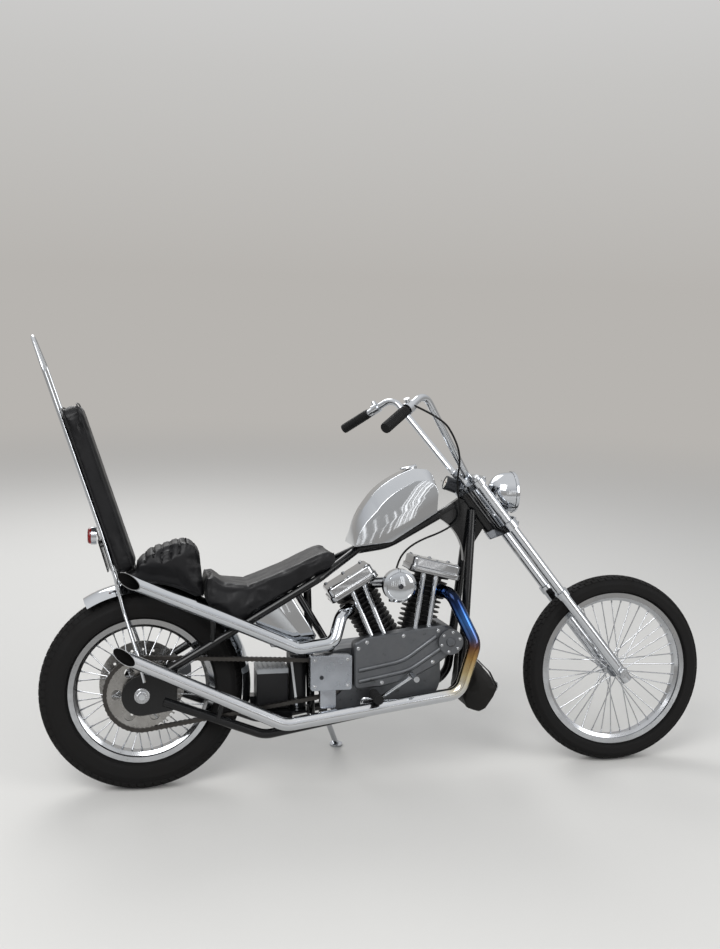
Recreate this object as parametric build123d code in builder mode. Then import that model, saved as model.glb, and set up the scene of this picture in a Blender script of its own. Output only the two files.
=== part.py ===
"""A long-forked chopper motorcycle with a rigid frame, parked on its side stand.

Until the last step the machine stands upright: X forwards, Y to its left, Z up, in millimetres,
with the rear tyre touching the floor at the origin. The last step leans it onto the side stand.
"""
import os
from math import asin, atan2, cos, pi, radians, sin, sqrt

from build123d import *

os.makedirs("parts", exist_ok=True)

# Whole machine
wheel_base = 1708.0
lean_angle = 8.0
rake = 38.0
fit = 0.05
seat_gap = 0.3

# Wheels
rear_tyre_radius = 339.5
rear_tyre_width = 122.0
rear_rim_radius = 242.5
rear_rim_width = 88.0
front_tyre_radius = 342.5
front_tyre_width = 90.0
front_rim_radius = 279.0
front_rim_width = 58.0
crown_radius = 58.0
rim_wall = 3.5
rim_lip = 14.0
rim_well = 12.0
spoke_count = 40
spoke_radius = 2.0
spoke_sweep = 38.0
rear_axle_radius = 10.0
front_axle_radius = 8.0
rear_hub_radius = 30.0
rear_hub_half = 58.0
rear_flange_radius = 46.0
front_hub_radius = 20.0
front_hub_half = 34.0
front_flange_radius = 31.0
flange_width = 5.0

# Chain drive
chain_pitch = 15.875
rear_teeth = 48
front_teeth = 24
chain_links = 114
chain_y = -87.0
chain_width = 20.0
chain_height = 15.0
chain_plates = 5.2
roller_radius = 5.0
gearbox_sprocket_z = 366.0
sprocket_width = 8.0

# Rear brake
disc_radius = 146.0
disc_width = 6.0
disc_y = 84.0

# Frame
rail_y = 118.0
rail_radius = 16.0
stay_radius = 14.0
backbone_radius = 16.0
post_radius = 14.0
diagonal_radius = 11.0
diagonal_y = 50.0
neck_radius = 25.0
gusset_half = 15.0
neck_gap = 0.5
axle_plate_width = 8.0
axle_plate_radius = 66.0
cradle_bend = 90.0

# Fork
fork_spacing = 172.0
fork_tube_radius = 17.5
slider_radius = 20.5
slider_top = 380.0
slider_drop = 42.0
collar_radius = 24.0
collar_height = 26.0
stem_offset = 50.0
stem_radius = 12.5
lower_tree_height = 690.0
upper_tree_height = 882.0
lower_tree_thickness = 32.0
upper_tree_thickness = 22.0
tube_above_tree = 8.0
tree_wall = 9.0
bar_radius = 12.7
bar_forward = -20.0
bar_lift = 30.0
bar_clamp_y = 45.0
bar_corner = (0, 255, 1272)
bar_end = (-197, 395, 1280)
grip_radius = 17.5
grip_length = 125.0

# Headlight, speedometer and tail light
headlight_radius = 74.0
headlight_depth = 108.0
headlight_forward = 20.6
headlight_above_tree = 125.8
lens_dome = 11.0
meter_x = 1066.0
meter_z = 1034.0
meter_radius = 25.0
meter_length = 50.0
tail_light_radius = 30.0

# Body work
fender_half = 71.0
fender_gap = 27.5
fender_crown = rear_tyre_radius + fender_gap
fender_skirt = fender_crown - 31.0
fender_top = rear_tyre_radius + fender_crown
fender_wall = 3.0
fender_start = -9.0
fender_end = 122.0
sissy_radius = 6.35
sissy_half = 77.6
sissy_foot_y = 128.4
tank_front_width = 224.0
tank_rear_width = 206.0
tank_spine_width = 92.0
backrest_thickness = 62.0
backrest_width = 210.0
backrest_height = 597.0
backrest_lean = 18.6
backrest_above_fender = 21.0
passenger_pad_width = 220.0
rider_seat_width = 280.0
oil_tank_width = 196.0
tray_z = 256.0
tray_thickness = 5.7
battery_height = 123.0
electrics_height = 182.0

# Engine
crank_x = 915.0
crank_z = 350.0
vee_angle = 45.0
engine_tilt = 8.5
case_half = 84.0
case_radius = 112.0
barrel_start = 125.0
head_start = 275.0
head_end = 372.0
barrel_fin_radius = 68.0
head_fin_radius = 74.0
fin_core = 50.0
fin_count = 14
fin_thickness = 3.5
rocker_length = 186.0
rocker_width = 150.0
rocker_shift = -20.0
rocker_height = 50.0
rocker_base = 19.0
rocker_step = 5.0
carburettor_x = 856.0
carburettor_z = 692.0
pipe_radius = 22.2
pipe_wall = 1.8
seat_to_pipe = 2.8
pipe_y = -(rider_seat_width / 2 + seat_to_pipe + pipe_radius)
air_cleaner_radius = 57.0
generator_x = 1046.0
generator_z = 487.0
generator_radius = 44.0
cam_cover_depth = 62.0
cam_rib_radius = 8.0
pushrod_radius = 9.0
pushrod_y = -108.0

# Side stand
stand_foot_radius = 24.0
stand_leg_radius = 10.0
stand_pin_radius = 6.0
stand_boss_half = 10.0
stand_plate_depth = 36.0

# Small fittings
plate_bolt_spacing = 146.0
plate_bolt_radius = 3.5
mirror_bolt_radius = 4.2
cable_radius = 3.5


def side(y):
    """The upright plane at y, whose own axes run forwards and up and which faces right."""
    return Plane.XZ.offset(-y)


def axle_plane(x, z):
    """A plane through an axle, whose own axes run along the axle and up."""
    return Plane(origin=(x, 0, z), x_dir=(0, 1, 0), z_dir=(1, 0, 0))


def bent_tube(points, bend, radius, wall=0.0):
    """A tube bent through the points, solid unless it has a wall."""
    with BuildPart() as tube:
        with BuildLine() as route:
            if len(points) > 2:
                FilletPolyline(*points, radius=bend)
            else:
                Line(*points)
        with BuildSketch(Plane(origin=route.line @ 0, z_dir=route.line % 0)):
            Circle(radius)
            if wall:
                Circle(radius - wall, mode=Mode.SUBTRACT)
        sweep()
    return tube.part


def rod(start, end, radius):
    """A round bar from one point to another."""
    return bent_tube([start, end], 0, radius)


def both_sides(points):
    """The same route on the right and on the left."""
    return points, [(x, -y, z) for x, y, z in points]


rear_axle = Axis((0, 0, rear_tyre_radius), (0, 1, 0))
front_axle_line = Axis((wheel_base, 0, front_tyre_radius), (0, 1, 0))
rear_plane = axle_plane(0, rear_tyre_radius)
front_plane = axle_plane(wheel_base, front_tyre_radius)

pieces = {}


def tyre(plane, axis, tyre_radius, width, rim_radius, rim_width):
    """A tyre on its rim, from a round crown, bulging side walls and a flat bead."""
    seat = rim_radius - rim_lip
    bead = rim_width / 2 - rim_wall
    shoulder = 0.76 * width / 2
    shoulder_r = tyre_radius - crown_radius + sqrt(crown_radius**2 - shoulder**2)
    widest_r = rim_radius + 0.42 * (tyre_radius - rim_radius)
    with BuildPart() as part:
        with BuildSketch(plane):
            with BuildLine():
                Line((-bead, seat), (bead, seat))
                Line((bead, seat), (bead, rim_radius + 1))
                ThreePointArc((bead, rim_radius + 1), (width / 2, widest_r), (shoulder, shoulder_r))
                ThreePointArc((shoulder, shoulder_r), (0, tyre_radius), (-shoulder, shoulder_r))
                ThreePointArc((-shoulder, shoulder_r), (-width / 2, widest_r), (-bead, rim_radius + 1))
                Line((-bead, rim_radius + 1), (-bead, seat))
            make_face()
        revolve(axis=axis)
    return part


def wheel(plane, axis, hub, flange, half, bore, rim_radius, rim_width):
    """A turned hub laced to a drop-centre rim, its spokes crossing in pairs."""
    seat = rim_radius - rim_lip
    well = seat - rim_well
    rim_half = rim_width / 2
    flat = 0.22 * rim_width
    slope = flat + 7
    top = [(rim_half - rim_wall, rim_radius), (rim_half - rim_wall, seat), (slope, seat), (flat, well)]
    under = [(flat, well - rim_wall), (slope, seat - rim_wall), (rim_half, seat - rim_wall)]
    under += [(rim_half, rim_radius)]
    outline = top + [(-y, r) for y, r in reversed(top)]
    outline += [(-y, r) for y, r in reversed(under)] + under
    spokes = []
    for index in range(spoke_count):
        rim_turn = 2 * pi / spoke_count * index
        hub_turn = rim_turn + radians(spoke_sweep) * (1 if index % 4 < 2 else -1)
        y = (half - flange_width / 2) * (1 if index % 2 else -1)
        foot = plane.origin + (flange - 5) * Vector(cos(hub_turn), 0, sin(hub_turn)) + Vector(0, y, 0)
        head = plane.origin + (well - rim_wall / 2) * Vector(cos(rim_turn), 0, sin(rim_turn))
        spokes.append(Plane(origin=foot, z_dir=head - foot))
    with BuildPart() as part:
        with BuildSketch(plane):
            with BuildLine():
                Polyline((-half, bore + fit), (half, bore + fit), (half, flange),
                         (half - flange_width, flange), (half - flange_width, hub),
                         (flange_width - half, hub), (flange_width - half, flange), (-half, flange),
                         close=True)
            make_face()
            with BuildLine():
                Polyline(*outline, close=True)
            make_face()
        revolve(axis=axis)
        with BuildSketch(*spokes):
            Circle(spoke_radius)
        extrude(amount=(head - foot).length)
    return part.part


# Rear wheel
rear_tyre = tyre(rear_plane, rear_axle, rear_tyre_radius, rear_tyre_width, rear_rim_radius, rear_rim_width)
pieces["rear_tyre"] = rear_tyre.part

pieces["rear_wheel"] = wheel(rear_plane, rear_axle, rear_hub_radius, rear_flange_radius, rear_hub_half,
                             rear_axle_radius, rear_rim_radius, rear_rim_width)

rear_pitch_radius = chain_pitch / 2 / sin(pi / rear_teeth)
front_pitch_radius = chain_pitch / 2 / sin(pi / front_teeth)
with BuildPart() as rear_sprocket:
    with BuildSketch(Plane(origin=(0, chain_y + sprocket_width / 2, rear_tyre_radius), x_dir=(1, 0, 0),
                           z_dir=(0, -1, 0))):
        Circle(rear_pitch_radius + 5)
        with PolarLocations(rear_pitch_radius, rear_teeth):
            Circle(roller_radius + 1.8, mode=Mode.SUBTRACT)
        Circle(rear_axle_radius + fit, mode=Mode.SUBTRACT)
        with PolarLocations(82, 6):
            Circle(17, mode=Mode.SUBTRACT)
    extrude(amount=sprocket_width)
    with BuildSketch(side(-rear_hub_half)):
        with Locations((0, rear_tyre_radius)):
            Circle(rear_flange_radius)
            Circle(rear_axle_radius + fit, mode=Mode.SUBTRACT)
    extrude(amount=-chain_y - sprocket_width / 2 - rear_hub_half)
pieces["rear_sprocket"] = rear_sprocket.part

with BuildPart() as brake_disc:
    with BuildSketch(side(disc_y)):
        with Locations((0, rear_tyre_radius)):
            Circle(disc_radius)
            Circle(rear_axle_radius + fit, mode=Mode.SUBTRACT)
            with PolarLocations(68, 5):
                Circle(14, mode=Mode.SUBTRACT)
            with PolarLocations(116, 20):
                Circle(5, mode=Mode.SUBTRACT)
    extrude(amount=-disc_width)
    with BuildSketch(side(rear_hub_half)):
        with Locations((0, rear_tyre_radius)):
            Circle(rear_flange_radius)
            Circle(rear_axle_radius + fit, mode=Mode.SUBTRACT)
    extrude(amount=-(disc_y - rear_hub_half))
pieces["brake_disc"] = brake_disc.part

# Front wheel
front_tyre = tyre(front_plane, front_axle_line, front_tyre_radius, front_tyre_width, front_rim_radius,
                  front_rim_width)
pieces["front_tyre"] = front_tyre.part

pieces["front_wheel"] = wheel(front_plane, front_axle_line, front_hub_radius, front_flange_radius,
                              front_hub_half, front_axle_radius, front_rim_radius, front_rim_width)

# Rear axle, with its nuts outside the axle plates
axle_plate_in = rail_y - axle_plate_width / 2
nut_y = axle_plate_in + axle_plate_width
with BuildPart() as rear_axle_bar:
    with BuildSketch(rear_plane):
        with BuildLine():
            Polyline((-nut_y - 20, 0), (-nut_y - 20, rear_axle_radius), (-nut_y - 12, rear_axle_radius),
                     (-nut_y - 12, 16), (-nut_y, 16), (-nut_y, rear_axle_radius),
                     (nut_y, rear_axle_radius), (nut_y, 16), (nut_y + 12, 16),
                     (nut_y + 12, rear_axle_radius), (nut_y + 20, rear_axle_radius), (nut_y + 20, 0),
                     close=True)
        make_face()
    revolve(axis=rear_axle)
pieces["rear_axle"] = rear_axle_bar.part

# Fork: a plane at the front axle whose Z runs up the fork legs
rake_turn = radians(rake)
fork_plane = Plane(origin=(wheel_base, 0, front_tyre_radius), x_dir=(cos(rake_turn), 0, sin(rake_turn)),
                   z_dir=(-sin(rake_turn), 0, cos(rake_turn)))
leg_y = fork_spacing / 2
upper_tree_top = upper_tree_height + upper_tree_thickness / 2
upper_tree_bottom = upper_tree_height - upper_tree_thickness / 2
lower_tree_top = lower_tree_height + lower_tree_thickness / 2
lower_tree_bottom = lower_tree_height - lower_tree_thickness / 2
leg_top = upper_tree_top + tube_above_tree

with BuildPart() as fork_tubes:
    with BuildSketch(fork_plane.offset(slider_top)):
        with Locations((0, leg_y), (0, -leg_y)):
            Circle(fork_tube_radius)
    extrude(amount=leg_top - slider_top)
pieces["fork_tubes"] = fork_tubes.part

with BuildPart() as front_axle:
    with BuildSketch(front_plane):
        with BuildLine():
            inner = leg_y - slider_radius
            end = leg_y + slider_radius
            Polyline((-end - 14, 0), (-end - 14, front_axle_radius + 5), (-end, front_axle_radius + 5),
                     (-end, front_axle_radius), (-inner, front_axle_radius), (-inner, 13),
                     (-front_hub_half - seat_gap, 13), (-front_hub_half - seat_gap, front_axle_radius),
                     (front_hub_half + seat_gap, front_axle_radius), (front_hub_half + seat_gap, 13),
                     (inner, 13), (inner, front_axle_radius), (end, front_axle_radius),
                     (end, front_axle_radius + 5), (end + 14, front_axle_radius + 5), (end + 14, 0),
                     close=True)
        make_face()
    revolve(axis=front_axle_line)
pieces["front_axle"] = front_axle.part

with BuildPart() as fork_sliders:
    with BuildSketch(fork_plane.offset(-slider_drop)):
        with Locations((0, leg_y), (0, -leg_y)):
            Circle(slider_radius)
    extrude(amount=slider_top + slider_drop)
    with BuildSketch(fork_plane.offset(slider_top - collar_height)):
        with Locations((0, leg_y), (0, -leg_y)):
            Circle(collar_radius)
    extrude(amount=collar_height)
    add(front_axle.part, mode=Mode.SUBTRACT)
pieces["fork_sliders"] = fork_sliders.part


def on_fork(points):
    """Points given beside the fork legs, as points of the whole machine."""
    return [tuple(fork_plane.from_local_coords(Vector(*point))) for point in points]


riser_top = upper_tree_top + bar_lift
bar_points = [bar_end, bar_corner, (bar_forward, 80, riser_top), (bar_forward, -80, riser_top)]
bar_points += [(bar_corner[0], -bar_corner[1], bar_corner[2]), (bar_end[0], -bar_end[1], bar_end[2])]
handlebar_tube = bent_tube(on_fork(bar_points), 55, bar_radius)
pieces["handlebar"] = handlebar_tube


def tree(bottom, thickness):
    """A clamp plate round both fork tubes and the stem."""
    with BuildPart() as part:
        with BuildSketch(fork_plane.offset(bottom)):
            with Locations((0, leg_y), (0, -leg_y)):
                Circle(fork_tube_radius + tree_wall)
            with Locations((-stem_offset, 0)):
                Circle(stem_radius + 16)
            make_hull()
            with Locations((0, leg_y), (0, -leg_y)):
                Circle(fork_tube_radius, mode=Mode.SUBTRACT)
        extrude(amount=thickness)
    return part.part


with BuildPart() as top_tree:
    add(tree(upper_tree_bottom, upper_tree_thickness))
    with BuildSketch(fork_plane.offset(upper_tree_top)):
        with Locations((bar_forward, bar_clamp_y), (bar_forward, -bar_clamp_y)):
            RectangleRounded(40, 26, 5)
    extrude(amount=bar_lift + 18)
    add(handlebar_tube, mode=Mode.SUBTRACT)
pieces["top_tree"] = top_tree.part

grip_direction = (Vector(*bar_end) - Vector(*bar_corner)).normalized()
grip_start = Vector(*bar_end) - grip_direction * (grip_length - 6)
grip_tip = Vector(*bar_end) + grip_direction * 6
with BuildPart() as grips:
    for turn in (1, -1):
        start = (grip_start.X, turn * grip_start.Y, grip_start.Z)
        tip = (grip_tip.X, turn * grip_tip.Y, grip_tip.Z)
        add(rod(*on_fork([start, tip]), grip_radius))
    add(handlebar_tube, mode=Mode.SUBTRACT)
pieces["grips"] = grips.part

# Headlight on the lower tree
headlight_back = on_fork([(headlight_forward, 0, lower_tree_height + headlight_above_tree)])[0]
headlight_x, _, headlight_z = headlight_back
with BuildPart() as headlight_shell:
    with BuildSketch(side(0)):
        with BuildLine():
            back = (headlight_x, headlight_z)
            waist = (headlight_x + 62, headlight_z + headlight_radius - 3)
            front = (headlight_x + headlight_depth - 10, headlight_z + headlight_radius)
            ThreePointArc(back, (headlight_x + 16, headlight_z + 44), waist)
            seat_z = headlight_z + headlight_radius - 6
            Polyline(waist, front, (front[0], seat_z), (front[0] - 10, seat_z), (front[0] - 10, headlight_z),
                     back)
        make_face()
    revolve(axis=Axis((0, 0, headlight_z), (1, 0, 0)))
pieces["headlight_shell"] = headlight_shell.part

with BuildPart() as headlight_lens:
    with BuildSketch(side(0)):
        with BuildLine():
            seat_x = headlight_x + headlight_depth - 20
            edge = headlight_radius - 6
            dome_radius = (edge**2 + lens_dome**2) / 2 / lens_dome
            dome_middle = seat_x + 10 + lens_dome - dome_radius + sqrt(dome_radius**2 - edge**2 / 4)
            Line((seat_x, headlight_z), (seat_x, headlight_z + edge))
            Line((seat_x, headlight_z + edge), (seat_x + 10, headlight_z + edge))
            ThreePointArc((seat_x + 10, headlight_z + edge), (dome_middle, headlight_z + edge / 2),
                          (seat_x + 10 + lens_dome, headlight_z))
            Line((seat_x + 10 + lens_dome, headlight_z), (seat_x, headlight_z))
        make_face()
    revolve(axis=Axis((0, 0, headlight_z), (1, 0, 0)))
pieces["headlight_lens"] = headlight_lens.part

with BuildPart() as bottom_tree:
    add(tree(lower_tree_bottom, lower_tree_thickness))
    with BuildSketch(fork_plane.offset(lower_tree_top)):
        with Locations((-stem_offset, 0)):
            Circle(stem_radius)
    extrude(amount=upper_tree_bottom - lower_tree_top)
    add(rod((headlight_x + 68, 0, headlight_z - 98), (headlight_x + 68, 0, headlight_z - 66), 11))
    add(headlight_shell.part, mode=Mode.SUBTRACT)
pieces["bottom_tree"] = bottom_tree.part

# Side stand: the leg swings about an axis square to its lowered and its raised direction
lean_turn = radians(lean_angle)
floor_lift = crown_radius * (1 - cos(lean_turn))
pivot = Vector(640, 150, 212)
foot_y = 255
foot = Vector(710, foot_y, (foot_y * sin(lean_turn) - floor_lift) / cos(lean_turn))
lowered = (foot - pivot).normalized()
raised = Vector(-0.98, 0.10, -0.12).normalized()
stand_axis = lowered.cross(raised).normalized()
floor_up = Vector(0, -sin(lean_turn), cos(lean_turn))
stand_plane = Plane(origin=pivot, z_dir=stand_axis)
stand_rail = stand_plane.to_local_coords(Vector(640, 107.9, 225.3))

# Frame
with BuildPart() as neck_casting:
    with BuildSketch(fork_plane.offset(lower_tree_top + neck_gap)):
        with Locations((-stem_offset, 0)):
            Circle(neck_radius)
    extrude(amount=upper_tree_bottom - lower_tree_top - 2 * neck_gap)
    with BuildSketch(side(0)):
        with BuildLine():
            Polyline((1035, 908), (1042, 930), (1112, 978), (1165, 960), (1215, 890), (1205, 872),
                     (1158, 800), (1130, 752))
            ThreePointArc((1130, 752), (1094, 862), (1035, 908))
        make_face()
    extrude(amount=gusset_half, both=True)
    with BuildSketch(fork_plane.offset(lower_tree_bottom - neck_gap)):
        with Locations((-stem_offset, 0)):
            Circle(neck_radius + 35)
    extrude(amount=lower_tree_thickness + 2 * neck_gap, mode=Mode.SUBTRACT)

backbone_tube = bent_tube([(1140, 0, 972), (852, 0, 815), (728, 0, 797)], 200, backbone_radius)
with BuildPart() as backbone:
    add(neck_casting.part)
    add(backbone_tube)
    with BuildSketch(fork_plane.offset(lower_tree_top - 30)):
        with Locations((-stem_offset, 0)):
            Circle(stem_radius + fit)
    extrude(amount=upper_tree_bottom - lower_tree_top + 60, mode=Mode.SUBTRACT)
pieces["backbone"] = backbone.part

with BuildPart() as axle_plates:
    with BuildSketch(side(-axle_plate_in)):
        with Locations((0, rear_tyre_radius)):
            Circle(axle_plate_radius)
        with Locations((96, rear_tyre_radius + 88.5)):
            Circle(20)
        with Locations((92, rear_tyre_radius - 31.5)):
            Circle(22)
        make_hull()
        with Locations((0, rear_tyre_radius)):
            Circle(rear_axle_radius, mode=Mode.SUBTRACT)
    extrude(amount=axle_plate_width)
    mirror(about=Plane.XZ)
pieces["axle_plates"] = axle_plates.part

cradle_route = [(1160, -18, 935), (1098, -100, 300), (405, -112, 187), (70, -rail_y, rear_tyre_radius - 21.5)]
stay_route = [(742, -12, 801), (588, -rail_y, 713), (80, -rail_y, rear_tyre_radius + 77.5)]
cradle_tubes = [bent_tube(route, cradle_bend, rail_radius) for route in both_sides(cradle_route)]
stay_tubes = [bent_tube(route, 60, stay_radius) for route in both_sides(stay_route)]

with BuildPart() as cradle:
    add(cradle_tubes)
    add(neck_casting.part, mode=Mode.SUBTRACT)
    add(axle_plates.part, mode=Mode.SUBTRACT)
    with BuildSketch(stand_plane.offset(-stand_plate_depth)):
        Circle(15)
        with Locations((stand_rail.X, stand_rail.Y)):
            Circle(15)
        make_hull()
    extrude(amount=stand_plate_depth - stand_boss_half - seat_gap)
    with BuildSketch(stand_plane.offset(-stand_boss_half - 2)):
        Circle(stand_pin_radius)
    extrude(amount=2 * stand_boss_half + 4)
    with BuildSketch(stand_plane.offset(stand_boss_half + seat_gap)):
        Circle(11)
    extrude(amount=5)
pieces["cradle"] = cradle.part

seat_post = [(564, 0, 692), (580, 0, 214)]
with BuildPart() as upper_stays:
    add(stay_tubes)
    add(rod((562, -rail_y, 698), (562, rail_y, 698), 11))
    add(rod((516, -rail_y, 671), (516, rail_y, 671), 11))
    add(rod((516, -diagonal_y, 671), (648, -diagonal_y, 449), diagonal_radius))
    add(rod((516, diagonal_y, 671), (648, diagonal_y, 449), diagonal_radius))
    add(rod(*seat_post, post_radius))
    add(rod((580, -108, 216), (580, 108, 216), 11))
    add(backbone_tube, mode=Mode.SUBTRACT)
    add(axle_plates.part, mode=Mode.SUBTRACT)
    add(cradle_tubes, mode=Mode.SUBTRACT)
pieces["upper_stays"] = upper_stays.part

# Fender, sissy bar, seat and backrest
with BuildPart() as fender:
    with BuildSketch(rear_plane):
        with BuildLine():
            inner_crown = fender_crown - fender_wall
            inner_half = fender_half - fender_wall
            ThreePointArc((-fender_half, fender_skirt), (0, fender_crown), (fender_half, fender_skirt))
            Line((fender_half, fender_skirt), (inner_half, fender_skirt))
            ThreePointArc((inner_half, fender_skirt), (0, inner_crown), (-inner_half, fender_skirt))
            Line((-inner_half, fender_skirt), (-fender_half, fender_skirt))
        make_face()
    revolve(axis=rear_axle, revolution_arc=fender_end - fender_start)
fender_shell = fender.part.rotate(rear_axle, 90 - fender_end)
pieces["fender"] = fender_shell

sissy_points = [(8, -sissy_foot_y, rear_tyre_radius + 46.5), (-12, -sissy_foot_y, 470), (-62, -sissy_half, 622),
                (-87, -sissy_half, 726), (-134, -sissy_half, 881), (-320, -sissy_half, 1430), (-374, 0, 1576)]
sissy_path = sissy_points + [(x, -y, z) for x, y, z in reversed(sissy_points[:-1])]
sissy_tube = bent_tube(sissy_path, [120, 120, 150, 150, 90, 40, 90, 150, 150, 120, 120], sissy_radius)
pieces["sissy_bar"] = sissy_tube

backrest_turn = radians(backrest_lean)
backrest_foot = fender_top + backrest_above_fender
sissy_bend = sissy_points[4]
backrest_x = sissy_bend[0] + 7.3 + (sissy_bend[2] - backrest_foot) * sin(backrest_turn) / cos(backrest_turn)
backrest_plane = Plane(origin=(backrest_x, 0, backrest_foot), x_dir=(0, 1, 0),
                       z_dir=(cos(backrest_turn), 0, sin(backrest_turn)))
with BuildPart() as backrest:
    with BuildSketch(backrest_plane):
        with Locations((0, backrest_height / 2)):
            RectangleRounded(backrest_width, backrest_height, 45)
    extrude(amount=backrest_thickness)
pieces["backrest"] = backrest.part

with BuildPart() as fender_room:
    with BuildSketch(side(rider_seat_width)):
        with Locations((0, rear_tyre_radius)):
            Circle(fender_crown + seat_gap)
    extrude(amount=2 * rider_seat_width)

with BuildPart() as passenger_pad:
    with BuildSketch(side(0)):
        with BuildLine():
            Polyline((backrest_x + 8, fender_top - 26), (backrest_x + 8, backrest_foot + 2),
                     (backrest_x + 59.2, backrest_foot + 19), (backrest_x + 53.7, backrest_foot + 36.8),
                     (25, fender_top + 104), (100, fender_top + 128), (150, fender_top + 144),
                     (182, fender_top + 124), (204, fender_top - 66), (100, fender_top - 36), close=True)
        make_face()
    extrude(amount=passenger_pad_width / 2, both=True)
    add(fender_room.part, mode=Mode.SUBTRACT)
pieces["passenger_pad"] = passenger_pad.part

with BuildPart() as rider_seat:
    with BuildSketch(side(0)):
        with BuildLine():
            Polyline((204.3, 620), (204.3, fender_top + 30), (226, fender_top + 26), (268, 704), (350, 694),
                     (470, 740), (600, 800), (650, 812), (655, 769.6), (300, 562.4), (270, 560), close=True)
        make_face()
    extrude(amount=rider_seat_width / 2, both=True)
    add(fender_room.part, mode=Mode.SUBTRACT)
pieces["rider_seat"] = rider_seat.part

# Fuel tank: a flat spine, a facet along each shoulder, and sides that draw in towards the seat
tank_spine = ((1028, 1020), (1016, 1066), (976, 1085), (866, 1068), (778, 992), (736, 915), (716, 818))
tank_crease = ((1028, 996), (1010, 1030), (968, 1046), (876, 1025), (796, 952), (748, 890), (716, 818))
spine_half = tank_spine_width / 2
tank_half = tank_front_width / 2
tank_slabs = (((-spine_half, tank_spine), (spine_half, tank_spine)),
              ((spine_half, tank_spine), (tank_half, tank_crease)),
              ((-spine_half, tank_spine), (-tank_half, tank_crease)))
with BuildPart() as fuel_tank:
    for slab in tank_slabs:
        for y, top in slab:
            with BuildSketch(side(y)):
                with BuildLine():
                    Polyline((716, 818), (846, 834), (1034, 936), top[0])
                    ThreePointArc(*top[0:3])
                    ThreePointArc(*top[2:5])
                    ThreePointArc(*top[4:7])
                make_face()
        loft(ruled=True)
    for turn in (1, -1):
        front_corner = Vector(1034, turn * tank_half, 0)
        rear_corner = Vector(716, turn * tank_rear_width / 2, 0)
        inwards = Vector(0, 0, 1).cross(front_corner - rear_corner) * -turn
        split(bisect_by=Plane(origin=front_corner, z_dir=inwards), keep=Keep.TOP)
pieces["fuel_tank"] = fuel_tank.part


def stroke_plane(turn):
    """A plane at the crank whose Z runs up a cylinder that leans forwards by turn."""
    up = (sin(turn), 0, cos(turn))
    return Plane(origin=(crank_x, 0, crank_z), x_dir=(cos(turn), 0, -sin(turn)), z_dir=up)


# Engine and chain: the gearbox sprocket stands where a loop of whole links closes
chain_step = 2 * pi * rear_pitch_radius / rear_teeth
sprocket_drop = rear_pitch_radius - front_pitch_radius
centre_distance = chain_links * chain_step / 2
for _ in range(20):
    wrap = asin(sprocket_drop / centre_distance)
    straight = (chain_links * chain_step - pi * (rear_pitch_radius + front_pitch_radius)
                - 2 * sprocket_drop * wrap) / 2
    centre_distance = sqrt(straight**2 + sprocket_drop**2)
gearbox_sprocket_x = sqrt(centre_distance**2 - (gearbox_sprocket_z - rear_tyre_radius) ** 2)
chain_slope = atan2(gearbox_sprocket_z - rear_tyre_radius, gearbox_sprocket_x)


def chain_point(distance, lift):
    """A point of the chain's loop, measured from behind the rear axle over the top, and lifted off it."""
    top_turn = chain_slope + pi / 2 - wrap
    first = rear_pitch_radius * (pi - top_turn)
    if distance < first:
        turn = pi - distance / rear_pitch_radius
        reach = rear_pitch_radius + lift
        return reach * cos(turn), rear_tyre_radius + reach * sin(turn)
    distance -= first
    if distance < straight:
        reach = rear_pitch_radius + lift
        x = reach * cos(top_turn) + distance * sin(top_turn)
        return x, rear_tyre_radius + reach * sin(top_turn) - distance * cos(top_turn)
    distance -= straight
    bottom_turn = chain_slope - pi / 2 + wrap
    if distance < front_pitch_radius * (top_turn - bottom_turn):
        turn = top_turn - distance / front_pitch_radius
        reach = front_pitch_radius + lift
        return gearbox_sprocket_x + reach * cos(turn), gearbox_sprocket_z + reach * sin(turn)
    distance -= front_pitch_radius * (top_turn - bottom_turn)
    if distance < straight:
        reach = front_pitch_radius + lift
        x = gearbox_sprocket_x + reach * cos(bottom_turn) + distance * sin(bottom_turn)
        return x, gearbox_sprocket_z + reach * sin(bottom_turn) - distance * cos(bottom_turn)
    distance -= straight
    turn = bottom_turn - distance / rear_pitch_radius
    reach = rear_pitch_radius + lift
    return reach * cos(turn), rear_tyre_radius + reach * sin(turn)


def chain_line(half_height, waist):
    """One scalloped edge of the chain, full at each pin and narrow between the pins."""
    points = []
    for link in range(chain_links):
        points.append(chain_point(link * chain_step, half_height))
        points.append(chain_point((link + 0.5) * chain_step, waist))
    return points


with BuildPart() as drive_chain:
    for y in (chain_y + chain_width / 2, chain_y - chain_width / 2 + chain_plates):
        with BuildSketch(side(y)):
            with BuildLine():
                Polyline(*chain_line(chain_height / 2, chain_height / 2 - 2.2), close=True)
            make_face()
            with BuildLine():
                Polyline(*chain_line(-chain_height / 2, 2.2 - chain_height / 2), close=True)
            make_face(mode=Mode.SUBTRACT)
        extrude(amount=chain_plates)
    with BuildSketch(side(chain_y + chain_width / 2)):
        with Locations(*[chain_point(link * chain_step, 0) for link in range(0, chain_links, 3)]):
            RegularPolygon(roller_radius - 1, 4)
    extrude(amount=chain_width)
pieces["drive_chain"] = drive_chain.part

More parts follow.
